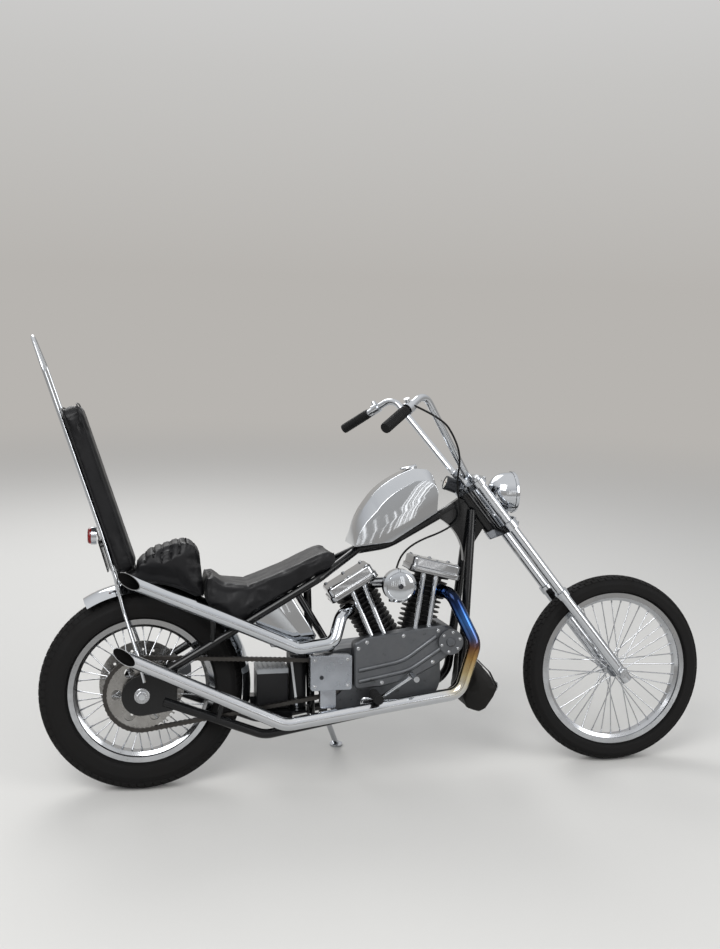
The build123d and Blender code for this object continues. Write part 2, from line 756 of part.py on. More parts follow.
with BuildPart() as crankcase:
    with BuildSketch(side(case_half)):
        with Locations((crank_x, crank_z + 8)):
            Circle(case_radius)
        with Locations((682, 372)):
            Circle(92)
        with Locations((684, 312)):
            Circle(74)
        with Locations((965, 430)):
            Circle(60)
        make_hull()
    extrude(amount=2 * case_half)
    with BuildSketch(side(-case_half)):
        with Locations((gearbox_sprocket_x, gearbox_sprocket_z)):
            Circle(front_pitch_radius + chain_height)
    extrude(amount=-14, mode=Mode.SUBTRACT)
    with BuildSketch(side(-case_half)):
        with Locations((generator_x, generator_z)):
            Circle(generator_radius)
    extrude(amount=-2 * case_half, mode=Mode.SUBTRACT)
    add(upper_stays.part, mode=Mode.SUBTRACT)
pieces["crankcase"] = crankcase.part

with BuildPart() as generator_room:
    with BuildSketch(side(case_half + 40)):
        with Locations((generator_x, generator_z)):
            Circle(generator_radius + 1)
    extrude(amount=2 * case_half + 80)

vee_middle = stroke_plane(radians(-engine_tilt))
cylinders = []
rocker_boxes = []
for sign in (1, -1):
    turn = radians(sign * vee_angle / 2 - engine_tilt)
    plane = stroke_plane(turn)
    fin_pitch = (head_end - barrel_start) / fin_count
    outline = [(0, barrel_start), (fin_core, barrel_start)]
    for index in range(fin_count):
        bottom = barrel_start + fin_pitch * (index + 0.5)
        reach = barrel_fin_radius if bottom < head_start else head_fin_radius
        outline += [(fin_core, bottom), (reach, bottom), (reach, bottom + fin_thickness),
                    (fin_core, bottom + fin_thickness)]
    outline += [(fin_core, head_end), (0, head_end)]
    with BuildPart() as barrel:
        with BuildSketch(Plane(origin=plane.origin, x_dir=plane.x_dir, z_dir=(0, -1, 0))):
            with BuildLine():
                Polyline(*outline, close=True)
            make_face()
        revolve(axis=Axis(plane.origin, plane.z_dir))
        add(crankcase.part, mode=Mode.SUBTRACT)
        add(generator_room.part, mode=Mode.SUBTRACT)
        parting = Plane(origin=plane.origin, x_dir=(0, 1, 0), z_dir=vee_middle.x_dir * sign)
        split(bisect_by=parting.offset(1), keep=Keep.TOP)
    cylinders.append(barrel.part)
    with BuildPart() as rocker_box:
        with BuildSketch(plane.offset(head_end)):
            with Locations((0, rocker_shift)):
                RectangleRounded(rocker_length, rocker_width, 22)
        extrude(amount=rocker_base)
        with BuildSketch(plane.offset(head_end + rocker_base)):
            with Locations((0, rocker_shift)):
                RectangleRounded(rocker_length - 2 * rocker_step, rocker_width - 2 * rocker_step, 18)
        extrude(amount=rocker_height - rocker_base)
        fillet(faces().sort_by(Axis(plane.origin, plane.z_dir))[-1].edges(), radius=7)
    rocker_boxes.append(rocker_box.part)
pieces["cylinders"] = Part() + cylinders
pieces["rocker_boxes"] = Part() + rocker_boxes

with BuildPart() as cam_cover:
    with BuildSketch(side(-case_half)):
        with BuildLine():
            Polyline((708, 334), (801, 339), (907, 362), (1000, 408), (1050, 445), (1076, 500), (1022, 545),
                     (745, 508), (708, 490), close=True)
        make_face()
        fillet(vertices(), radius=14)
    extrude(amount=cam_cover_depth)
    chamfer(faces().sort_by(Axis.Y)[0].edges(), length=5)
    for route in ([(724, 360), (900, 392), (1030, 474)], [(724, 398), (880, 426), (996, 506)]):
        add(bent_tube([(x, -case_half - cam_cover_depth + 2, z) for x, z in route], 160, cam_rib_radius))
pieces["cam_cover"] = cam_cover.part

with BuildPart() as generator:
    with BuildSketch(side(case_half + 20)):
        with Locations((generator_x, generator_z)):
            Circle(generator_radius)
    extrude(amount=2 * case_half + 20)
    with BuildSketch(side(-case_half - cam_cover_depth)):
        with Locations((generator_x, generator_z)):
            Circle(generator_radius)
    extrude(amount=14)
    add(cam_cover.part, mode=Mode.SUBTRACT)
pieces["generator"] = generator.part

with BuildPart() as sprocket_cover:
    with BuildSketch(side(chain_y - chain_width / 2 - 4)):
        with BuildLine():
            Polyline((557, 335), (700, 335), (700, 454), (557, 454), close=True)
        make_face()
        fillet(vertices(), radius=10)
    extrude(amount=46)
    with BuildSketch(side(-case_half)):
        with Locations((692, 395)):
            Rectangle(12, 90)
    extrude(amount=20)
    with BuildSketch(side(chain_y - chain_width / 2 - 12)):
        with Locations((618, 306)):
            RectangleRounded(54, 66, 8)
    extrude(amount=34)
    add(cam_cover.part, mode=Mode.SUBTRACT)
pieces["sprocket_cover"] = sprocket_cover.part

with BuildPart() as primary_cover:
    with BuildSketch(side(case_half)):
        with Locations((crank_x, crank_z + 8)):
            Circle(66)
        with Locations((672, 372)):
            Circle(66)
        make_hull()
    extrude(amount=-52)
    with BuildSketch(side(case_half + 52)):
        with Locations((690, 372)):
            Circle(50)
    extrude(amount=-8)
pieces["primary_cover"] = primary_cover.part

# Foot and top of each pushrod tube
pushrods = [((928, 530), (968, 722)), ((975, 530), (1012, 712))]
pushrods += [((821, 520), (748, 686)), ((774, 520), (708, 662))]
with BuildPart() as pushrod_tubes:
    for (foot_x, foot_z), (top_x, top_z) in pushrods:
        add(rod((foot_x, pushrod_y, foot_z - 10), (top_x, -84, top_z + 8), pushrod_radius))
    for piece in ("cam_cover", "rocker_boxes", "cylinders"):
        add(pieces[piece], mode=Mode.SUBTRACT)
pieces["pushrod_tubes"] = pushrod_tubes.part

with BuildPart() as carburettor:
    add(rod((carburettor_x, -160, carburettor_z), (carburettor_x, -20, carburettor_z - 10), 27))
    add(rod((carburettor_x, -128, carburettor_z), (carburettor_x, -128, carburettor_z - 62), 25))
    add(rod((782, -20, carburettor_z - 10), (945, -20, carburettor_z - 10), 19))
    add(pieces["cylinders"], mode=Mode.SUBTRACT)
    add(pieces["pushrod_tubes"], mode=Mode.SUBTRACT)
pieces["carburettor"] = carburettor.part.solids().sort_by(SortBy.VOLUME)[-1]

with BuildPart() as air_cleaner:
    with BuildSketch(side(-162)):
        with Locations((carburettor_x, carburettor_z)):
            Circle(air_cleaner_radius)
    extrude(amount=42)
    chamfer(faces().sort_by(Axis.Y)[0].edges(), length=8)
    add(carburettor.part, mode=Mode.SUBTRACT)
pieces["air_cleaner"] = air_cleaner.part

# Exhaust
upper_route = [(716, -52, 604), (664, -128, 584), (634, pipe_y, 500), (515, pipe_y, 484), (350, pipe_y, 557),
               (-75, pipe_y, 740)]
lower_route = [(1026, -44, 656), (1058, -120, 648), (1132, pipe_y, 480), (1078, pipe_y, 311),
               (470, pipe_y, 230), (-90, pipe_y, 494)]
slash = radians(30)
pipes = []
for route, bends, end in ((upper_route, [38, 45, 60, 110], (-43, pipe_y, 726)),
                          (lower_route, [45, 60, 60, 90], (-57, pipe_y, 481))):
    with BuildPart() as pipe:
        add(bent_tube(route, bends, pipe_radius, pipe_wall))
        split(bisect_by=Plane(origin=end, z_dir=(sin(slash), cos(slash), 0)), keep=Keep.TOP)
        add(pieces["cylinders"], mode=Mode.SUBTRACT)
    pipes.append(pipe.part.solids().sort_by(SortBy.VOLUME)[-1])
pieces["upper_pipe"] = pipes[0]
pieces["lower_pipe"] = pipes[1]

with BuildPart() as pipe_hangers:
    add(rod((230, -122, 510), (230, pipe_y, 604), 8))
    add(rod((250, -124, 252), (262, pipe_y, 326), 8))
    add([pipes[0], pipes[1], pieces["upper_stays"], pieces["cradle"]], mode=Mode.SUBTRACT)
hanger_solids = [solid for solid in pipe_hangers.part.solids() if solid.center().Y > pipe_y + pipe_radius / 2]
pieces["pipe_hangers"] = Part() + hanger_solids

# Battery, oil tank and their tray
tray_floor = Plane.XY.offset(tray_z + tray_thickness + seat_gap)
with BuildPart() as battery:
    with BuildSketch(tray_floor):
        with Locations((438, 0)):
            RectangleRounded(108, 132, 6)
    extrude(amount=battery_height)
pieces["battery"] = battery.part

with BuildPart() as electrics_box:
    with BuildSketch(tray_floor):
        with Locations((526, 0)):
            RectangleRounded(56, 140, 20)
    extrude(amount=electrics_height)
pieces["electrics_box"] = electrics_box.part

# Oil tank: a wedge under the seat, hung between the upper stays and grooved round the seat post
with BuildPart() as oil_tank:
    with BuildSketch(side(0)):
        with BuildLine():
            Polyline((362, 590), (488, 664), (500.7, 650.5), (584, 515), (566, 468), (430, 480), (372, 560),
                     close=True)
        make_face()
    extrude(amount=oil_tank_width / 2, both=True)
    fillet(faces().filter_by(Axis.Y).edges(), radius=7)
    add(rod((440, -rail_y, 624), (440, rail_y, 624), 9))
    add(rod(*seat_post, post_radius + 3), mode=Mode.SUBTRACT)
    add(stay_tubes, mode=Mode.SUBTRACT)
pieces["oil_tank"] = oil_tank.part.solids().sort_by(SortBy.VOLUME)[-1]

with BuildPart() as battery_tray:
    with BuildSketch(Plane.XY.offset(tray_z)):
        with Locations((468, 0)):
            Rectangle(176, 216)
    extrude(amount=tray_thickness)
    with BuildSketch(Plane.XY.offset(tray_z - 60)):
        with Locations((470, 105), (470, -105)):
            Rectangle(60, 6)
    extrude(amount=61)
    with BuildSketch(Plane.XY.offset(tray_z)):
        with Locations((fender_crown + 6, 0)):
            Rectangle(20, 60)
    extrude(amount=44)
    add(fender_shell, mode=Mode.SUBTRACT)
    add(cradle_tubes, mode=Mode.SUBTRACT)
pieces["battery_tray"] = Part() + battery_tray.part.solids().sort_by(SortBy.VOLUME)[-1]

# Foot controls
with BuildPart() as foot_pegs:
    add(bent_tube([(775, -108, 250), (775, -112, 318), (775, -150, 318)], 10, 8))
    add(bent_tube([(775, 108, 250), (775, 160, 256), (775, 160, 300)], 10, 8))
    add(rod((775, -140, 318), (775, -250, 318), 15))
    add(rod((775, 152, 306), (775, 254, 306), 15))
    add(cradle_tubes, mode=Mode.SUBTRACT)
pieces["foot_pegs"] = foot_pegs.part

with BuildPart() as foot_levers:
    add(bent_tube([(738, -106, 244), (738, -126, 298), (800, -134, 298), (905, -184, 380)], 12, 6.5))
    add(rod((905, -160, 380), (905, -240, 380), 10))
    add(bent_tube([(838, 130, 318), (838, 160, 318), (925, 160, 380)], 12, 6.5))
    add(rod((925, 150, 380), (925, 215, 380), 10))
    add(cradle_tubes, mode=Mode.SUBTRACT)
    add([cam_cover.part, primary_cover.part], mode=Mode.SUBTRACT)
pieces["foot_levers"] = foot_levers.part

# Brake caliper round the disc, bolted to the left axle plate
with BuildPart() as brake_caliper:
    with BuildSketch(side(68)):
        with Locations((128, rear_tyre_radius + 24)):
            RectangleRounded(76, 88, 16)
    extrude(amount=-36)
    with BuildSketch(side(disc_y - 3)):
        with Locations((0, rear_tyre_radius)):
            Circle(disc_radius + 5)
    extrude(amount=-disc_width - 6, mode=Mode.SUBTRACT)
    with BuildSketch(side(axle_plate_in)):
        with Locations((100, rear_tyre_radius + 23)):
            RectangleRounded(56, 42, 8)
    extrude(amount=axle_plate_in - 103.6)
pieces["brake_caliper"] = brake_caliper.part

# Tail light and plate bracket behind the sissy bar
plate_turn = radians(17)
plate_plane = Plane(origin=(-128, 0, 800), x_dir=(0, 1, 0), z_dir=(cos(plate_turn), 0, sin(plate_turn)))
with BuildPart() as plate_bracket:
    with BuildSketch(plate_plane):
        RectangleRounded(178, 112, 8)
        with Locations((plate_bolt_spacing / 2, 0), (-plate_bolt_spacing / 2, 0)):
            Circle(plate_bolt_radius, mode=Mode.SUBTRACT)
        with Locations((0, 66)):
            Rectangle(40, 50)
    extrude(amount=3)
    for y in (sissy_half, -sissy_half):
        add(rod((-137, y, 834), (-121, y, 839), 6))
    add(sissy_tube, mode=Mode.SUBTRACT)
pieces["plate_bracket"] = plate_bracket.part

with BuildPart() as tail_light:
    add(rod((-150, 0, 862), (-168, 0, 862), tail_light_radius))
    add(plate_bracket.part, mode=Mode.SUBTRACT)
pieces["tail_light"] = tail_light.part.solids().sort_by(SortBy.VOLUME)[-1]
with BuildPart() as tail_lens:
    add(rod((-168, 0, 862), (-180, 0, 862), tail_light_radius - 3))
    fillet(faces().sort_by(Axis.X)[0].edges(), radius=8)
pieces["tail_lens"] = tail_lens.part

# Things on the tank, the top tree and the bars
cap_turn = radians(14)
with BuildPart() as filler_cap:
    with BuildSketch(Plane(origin=(931, 0, 1076), x_dir=(0, 1, 0), z_dir=(-sin(cap_turn), 0, cos(cap_turn)))):
        Circle(31)
    extrude(amount=16)
    add(fuel_tank.part, mode=Mode.SUBTRACT)
pieces["filler_cap"] = filler_cap.part

meter_turn = radians(20)
meter_front = (meter_x + meter_length * cos(meter_turn), 0, meter_z - meter_length * sin(meter_turn))
with BuildPart() as speedometer:
    add(rod((meter_x, 0, meter_z), meter_front, meter_radius))
    add(pieces["top_tree"], mode=Mode.SUBTRACT)
pieces["speedometer"] = speedometer.part.solids().sort_by(SortBy.VOLUME)[-1]


def on_grip(along, out, up, turn):
    """A point beside a grip: along it from the bar's corner, out in front of it and above it."""
    forward = Vector(0.6575, 0.7513, 0)
    line = Vector(-0.661, 0.5785, -0.475)
    lifted = Vector(-0.357, 0.3126, 0.880)
    corner = fork_plane.from_local_coords(Vector(*bar_corner))
    point = corner + line * along + forward * out + lifted * up
    return point.X, turn * point.Y, point.Z


with BuildPart() as hand_controls:
    add(rod(on_grip(70, 0, 0, 1), on_grip(96, 0, 0, 1), 19))
    add(rod(on_grip(83, 0, 0, 1), on_grip(83, 0, 30, 1), 9))
    add(bent_tube([on_grip(83, 14, 0, 1), on_grip(88, 46, 0, 1), on_grip(232, 44, 0, 1)], 20, 5.5))
    add(rod(on_grip(83, 0, 15, 1), on_grip(83, 0, 40, 1), mirror_bolt_radius), mode=Mode.SUBTRACT)
    add(rod(on_grip(88, 0, 0, -1), on_grip(118, 0, 0, -1), 21))
    add(rod(on_grip(100, 0, 0, -1), on_grip(100, 0, 32, -1), 9))
    add(rod(on_grip(100, 0, 17, -1), on_grip(100, 0, 42, -1), mirror_bolt_radius), mode=Mode.SUBTRACT)
    add(handlebar_tube, mode=Mode.SUBTRACT)
    add(grips.part, mode=Mode.SUBTRACT)
pieces["hand_controls"] = hand_controls.part

# Throttle cable: its upper stretch turns with the bars, its lower one lies along the frame
upper_cable_route = [on_grip(96, 19, 4, -1), (985, -262, 1262), (1040, -215, 1200), (1078, -160, 1130),
                     (1086, -80, 1040), (1104, -50, 961)]
lower_cable_route = [(1104.3, -49.5, 959.7), (1116.6, -29, 905.7), (1052, -34, 862), (955, -34, 828),
                     (890, -70, 790), (carburettor_x, -118, 735), (carburettor_x, -128, 715)]
with BuildPart() as throttle_cable:
    add(bent_tube(upper_cable_route, [40, 70, 60, 50], cable_radius))
    add(hand_controls.part, mode=Mode.SUBTRACT)
pieces["throttle_cable"] = throttle_cable.part.solids().sort_by(SortBy.VOLUME)[-1]
with BuildPart() as carburettor_cable:
    add(bent_tube(lower_cable_route, [20, 50, 70, 40, 10], cable_radius))
    add(carburettor.part, mode=Mode.SUBTRACT)
pieces["carburettor_cable"] = carburettor_cable.part.solids().sort_by(SortBy.VOLUME)[-1]

# Leather tool pouch in front of the down tubes
with BuildPart() as tool_pouch:
    with BuildSketch(side(0)):
        with BuildLine():
            Polyline((1126.2, 417), (1167, 392), (1212, 350), (1238, 301), (1224, 273), (1194, 231),
                     (1168, 218), (1118, 235), (1108, 264), (1120, 355), close=True)
        make_face()
    extrude(amount=105, both=True)
    fillet(faces().filter_by(Axis.Y).edges(), radius=10)
    add(cradle_tubes, mode=Mode.SUBTRACT)
pieces["tool_pouch"] = tool_pouch.part

# Side stand leg
with BuildPart() as side_stand:
    add(rod(tuple(pivot), tuple(foot + floor_up * 5), stand_leg_radius))
    with BuildSketch(Plane(origin=foot, z_dir=floor_up)):
        Circle(stand_foot_radius)
    extrude(amount=7)
    with BuildSketch(stand_plane.offset(-stand_boss_half)):
        Circle(15)
    extrude(amount=2 * stand_boss_half)
    with BuildSketch(Plane(origin=foot, z_dir=floor_up)):
        Circle(80)
    extrude(amount=-40, mode=Mode.SUBTRACT)
    with BuildSketch(stand_plane.offset(-20)):
        Circle(stand_pin_radius + fit)
    extrude(amount=40, mode=Mode.SUBTRACT)
pieces["side_stand"] = side_stand.part

# Lean the whole machine onto its stand and centre it on the floor
lean = Rotation(-lean_angle, 0, 0)
box = Compound(children=[lean * (Part() + part) for part in pieces.values()]).bounding_box()
parked = Pos(-box.center().X, -box.center().Y, -box.min.Z) * lean
for name, part in pieces.items():
    piece = parked * (Part() + part)
    piece.label = name
    export_step(piece, f"parts/{name}.step")
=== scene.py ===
"""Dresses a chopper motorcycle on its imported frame: finishes, tyres, seats, lamps, fasteners and cable."""
import itertools
import math

import bmesh
import bpy
from bpy.props import FloatProperty, FloatVectorProperty, IntProperty, PointerProperty
from mathutils import Matrix, Vector


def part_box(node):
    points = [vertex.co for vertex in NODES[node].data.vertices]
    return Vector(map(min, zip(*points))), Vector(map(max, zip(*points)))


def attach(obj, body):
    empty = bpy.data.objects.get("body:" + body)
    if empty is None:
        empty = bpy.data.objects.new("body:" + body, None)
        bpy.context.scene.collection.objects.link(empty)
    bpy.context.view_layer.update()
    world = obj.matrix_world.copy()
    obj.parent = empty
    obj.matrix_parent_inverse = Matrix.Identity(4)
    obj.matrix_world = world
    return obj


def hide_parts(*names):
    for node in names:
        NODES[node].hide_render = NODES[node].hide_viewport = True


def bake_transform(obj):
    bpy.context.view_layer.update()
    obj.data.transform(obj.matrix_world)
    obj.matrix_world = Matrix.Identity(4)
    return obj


bl_info = {
    "name": "Chopper Dresser",
    "version": (1, 0, 0),
    "blender": (4, 5, 0),
    "location": "3D View > Sidebar > Chopper",
    "description": "Finishes, tyres, seats, lamps, fasteners and cable of a long-forked chopper",
    "category": "Object",
}

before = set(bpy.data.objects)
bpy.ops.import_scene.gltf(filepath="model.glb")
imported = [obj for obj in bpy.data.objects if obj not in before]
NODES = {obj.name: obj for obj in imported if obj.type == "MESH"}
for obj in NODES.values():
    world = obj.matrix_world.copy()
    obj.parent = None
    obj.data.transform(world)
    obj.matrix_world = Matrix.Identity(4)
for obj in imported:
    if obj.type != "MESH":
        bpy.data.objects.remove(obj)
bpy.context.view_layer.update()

MM = 0.001
LEAN = math.radians(8.0)
RAKE = math.radians(38.0)
REAR_AXLE = Vector((0.0, 0.0, 339.5))
FRONT_AXLE = Vector((1708.0, 0.0, 342.5))
CRANK = Vector((915.0, 0.0, 350.0))
RIGHT, LEFT = Vector((0, -1, 0)), Vector((0, 1, 0))
IMAGE_WIDTH, IMAGE_HEIGHT = 720, 949
# The solved lens: its focal length and its middle, in pixels of the photograph, and Blender's sensor in mm
FOCAL_PIXELS, LENS_X, LENS_Y, SENSOR_WIDTH = 1120.8, 399.8, 447.05, 36.0
SHARP_ANGLE = math.radians(38)
CLOTH_FRAMES = 20


def parked_matrix():
    """The move from the upright machine, in metres, to where it leans on its stand."""
    low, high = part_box("rear_tyre")
    turn = Matrix.Rotation(-LEAN, 4, "X")
    return Matrix.Translation((low + high) / 2 - turn @ (REAR_AXLE * MM)) @ turn


PARKED = parked_matrix()


def upright(x, y, z):
    """A point of the upright machine, given in millimetres, in metres."""
    return Vector((x, y, z)) * MM


def on_fork(x, y, z):
    """A point beside the fork legs, in millimetres, as a point of the upright machine."""
    ahead = Vector((math.cos(RAKE), 0, math.sin(RAKE)))
    along = Vector((-math.sin(RAKE), 0, math.cos(RAKE)))
    return FRONT_AXLE + ahead * x + LEFT * y + along * z


def around(x, y, z, radius, angles):
    """Points on a circle in the side view, in millimetres."""
    return [Vector((x + radius * math.cos(a), y, z + radius * math.sin(a))) for a in angles]


def on_cylinder(degrees, x, y, z):
    """A point of a cylinder that leans forwards by some degrees, in millimetres from the crank."""
    turn = math.radians(degrees)
    ahead = Vector((math.cos(turn), 0, -math.sin(turn)))
    up = Vector((math.sin(turn), 0, math.cos(turn)))
    return CRANK + ahead * x + LEFT * y + up * z


def paint(code):
    """An sRGB hex colour as linear red, green, blue and alpha."""
    parts = [int(code[i:i + 2], 16) / 255 for i in (1, 3, 5)]
    return tuple(c / 12.92 if c <= 0.04045 else ((c + 0.055) / 1.055) ** 2.4 for c in parts) + (1.0,)


def node(tree, kind, settings=None, links=None):
    """Add a node, set its properties and unlinked inputs, and link the others from nodes or sockets."""
    made = tree.nodes.new(kind)
    for key, value in (settings or {}).items():
        if isinstance(key, str) and hasattr(made, key):
            setattr(made, key, value)
        else:
            made.inputs[key].default_value = value
    for key, source in (links or {}).items():
        tree.links.new(source.outputs[0] if isinstance(source, bpy.types.Node) else source, made.inputs[key])
    return made


# Materials


def blank_material(name):
    """A material with an output and nothing else, and the tree to fill."""
    material = bpy.data.materials.new(name)
    material.use_nodes = True
    material.node_tree.nodes.clear()
    return material, material.node_tree


def surface(name, base, shade, metallic=0.0, rough=(0.3, 0.5), patch_mm=80.0, grain_mm=2.0, depth_mm=0.02,
            stretch=(1, 1, 1), shader=None, speck=None, speck_mm=20.0, speck_share=0.62):
    """A finish whose colour and gloss drift in patches, with a grain of a real size and specks of grime."""
    material, tree = blank_material(name)
    place = node(tree, "ShaderNodeTexCoord").outputs["Object"]
    lay = node(tree, "ShaderNodeMapping", {"Scale": stretch}, {"Vector": place}).outputs[0]
    patch = node(tree, "ShaderNodeTexNoise", {"Scale": 1000 / patch_mm, "Detail": 4.0}, {"Vector": place})
    grain = node(tree, "ShaderNodeTexNoise", {"Scale": 1000 / grain_mm, "Detail": 2.0}, {"Vector": lay})
    tone = node(tree, "ShaderNodeMix", {"data_type": "RGBA", 6: paint(base), 7: paint(shade)},
                {0: patch}).outputs[2]
    if speck:
        dirt = node(tree, "ShaderNodeTexNoise", {"Scale": 1000 / speck_mm, "Detail": 8.0, "Roughness": 0.7},
                    {"Vector": place})
        mask = node(tree, "ShaderNodeMapRange", {"From Min": speck_share, "From Max": speck_share + 0.12},
                    {"Value": dirt})
        tone = node(tree, "ShaderNodeMix", {"data_type": "RGBA", 7: paint(speck)},
                    {0: mask, 6: tone}).outputs[2]
    gloss = node(tree, "ShaderNodeMapRange", {"From Min": 0.3, "From Max": 0.7, "To Min": rough[0],
                                              "To Max": rough[1]}, {"Value": patch})
    bump = node(tree, "ShaderNodeBump", {"Strength": 0.6, "Distance": depth_mm * MM},
                {"Height": grain})
    settings = {"Metallic": metallic}
    settings.update(shader or {})
    skin = node(tree, "ShaderNodeBsdfPrincipled", settings,
                {"Base Color": tone, "Roughness": gloss, "Normal": bump})
    node(tree, "ShaderNodeOutputMaterial", None, {"Surface": skin})
    return material


def heat_tinted_chrome():
    """Chrome plate on the front header: straw above the bend, blue towards the port, where gas is hottest,
    and near black right at the port.
    """
    material, tree = blank_material("heat_tinted_chrome_plate")
    place = node(tree, "ShaderNodeTexCoord").outputs["Object"]
    split = node(tree, "ShaderNodeSeparateXYZ", None, {0: place})
    ripple = node(tree, "ShaderNodeTexNoise", {"Scale": 1000 / 45, "Detail": 3.0}, {"Vector": place})
    height = node(tree, "ShaderNodeMath", {"operation": "MULTIPLY_ADD", 1: 0.07},
                  {0: ripple, 2: split.outputs["Z"]})
    rise = node(tree, "ShaderNodeMapRange", {"From Min": 0.36, "From Max": 0.70}, {"Value": height})
    ahead = node(tree, "ShaderNodeMapRange", {"From Min": 0.12, "From Max": 0.20},
                 {"Value": split.outputs["X"]})
    heat = node(tree, "ShaderNodeMath", {"operation": "MULTIPLY"}, {0: rise, 1: ahead})
    ramp = node(tree, "ShaderNodeValToRGB", None, {0: heat})
    # The last stops darken the top of the pipe at the port to near black
    fill_ramp(ramp, ((0.0, "#C6C8CB"), (0.20, "#C4B58C"), (0.36, "#A07E4C"), (0.48, "#6E4C3A"),
                     (0.57, "#434A66"), (0.72, "#3A639C"), (0.88, "#22345C"), (1.0, "#15181F")))
    gloss = node(tree, "ShaderNodeMapRange", {"To Min": 0.05, "To Max": 0.16}, {"Value": ripple})
    skin = node(tree, "ShaderNodeBsdfPrincipled", {"Metallic": 1.0},
                {"Base Color": ramp, "Roughness": gloss})
    node(tree, "ShaderNodeOutputMaterial", None, {"Surface": skin})
    return material


def seat_vinyl(name, grain_mm):
    """Embossed vinyl: a fine pebble of closed cells, a soft sheen and scuffs where a rider slides."""
    material, tree = blank_material(name)
    place = node(tree, "ShaderNodeTexCoord").outputs["Object"]
    pebble = node(tree, "ShaderNodeTexVoronoi", {"Scale": 1000 / grain_mm}, {"Vector": place})
    scuff = node(tree, "ShaderNodeTexNoise", {"Scale": 1000 / 55, "Detail": 6.0}, {"Vector": place})
    tone = node(tree, "ShaderNodeMix", {"data_type": "RGBA", 6: paint("#08080A"), 7: paint("#141416")},
                {0: scuff})
    gloss = node(tree, "ShaderNodeMapRange", {"From Min": 0.3, "From Max": 0.7, "To Min": 0.34,
                                              "To Max": 0.56}, {"Value": scuff})
    bump = node(tree, "ShaderNodeBump", {"Strength": 0.5, "Distance": 0.25 * MM}, {"Height": pebble})
    skin = node(tree, "ShaderNodeBsdfPrincipled", {"Specular IOR Level": 0.22, "Sheen Weight": 0.01,
                                                   "Sheen Roughness": 0.4},
                {"Base Color": tone.outputs[2], "Roughness": gloss, "Normal": bump})
    node(tree, "ShaderNodeOutputMaterial", None, {"Surface": skin})
    return material


def lamp_glass():
    """Pressed lamp glass: clear, with vertical flutes 12 mm wide that break up the reflector behind it."""
    material, tree = blank_material("fluted_lamp_glass")
    place = node(tree, "ShaderNodeTexCoord").outputs["Object"]
    # The wave goes 20 radians in a metre for each unit of its scale, which makes a flute every 12 mm
    flutes = node(tree, "ShaderNodeTexWave", {"bands_direction": "Y", "Scale": 1000 / 6 / 6.2832,
                                              "Distortion": 0.0}, {"Vector": place})
    haze = node(tree, "ShaderNodeTexNoise", {"Scale": 1000 / 30}, {"Vector": place})
    bump = node(tree, "ShaderNodeBump", {"Strength": 0.7, "Distance": 0.8 * MM},
                {"Height": flutes.outputs["Fac"]})
    gloss = node(tree, "ShaderNodeMapRange", {"To Min": 0.02, "To Max": 0.09}, {"Value": haze})
    skin = node(tree, "ShaderNodeBsdfPrincipled", {"Base Color": paint("#F2F5F4"), "IOR": 1.5,
                                                   "Transmission Weight": 1.0},
                {"Roughness": gloss, "Normal": bump})
    node(tree, "ShaderNodeOutputMaterial", None, {"Surface": skin})
    return material


def fill_ramp(ramp, stops):
    """Set a colour ramp's stops, each a place and an sRGB hex colour."""
    for index, (stop, colour) in enumerate(stops):
        mark = ramp.color_ramp.elements[index] if index < 2 else ramp.color_ramp.elements.new(stop)
        mark.position = stop
        mark.color = paint(colour)


MATERIALS = {}


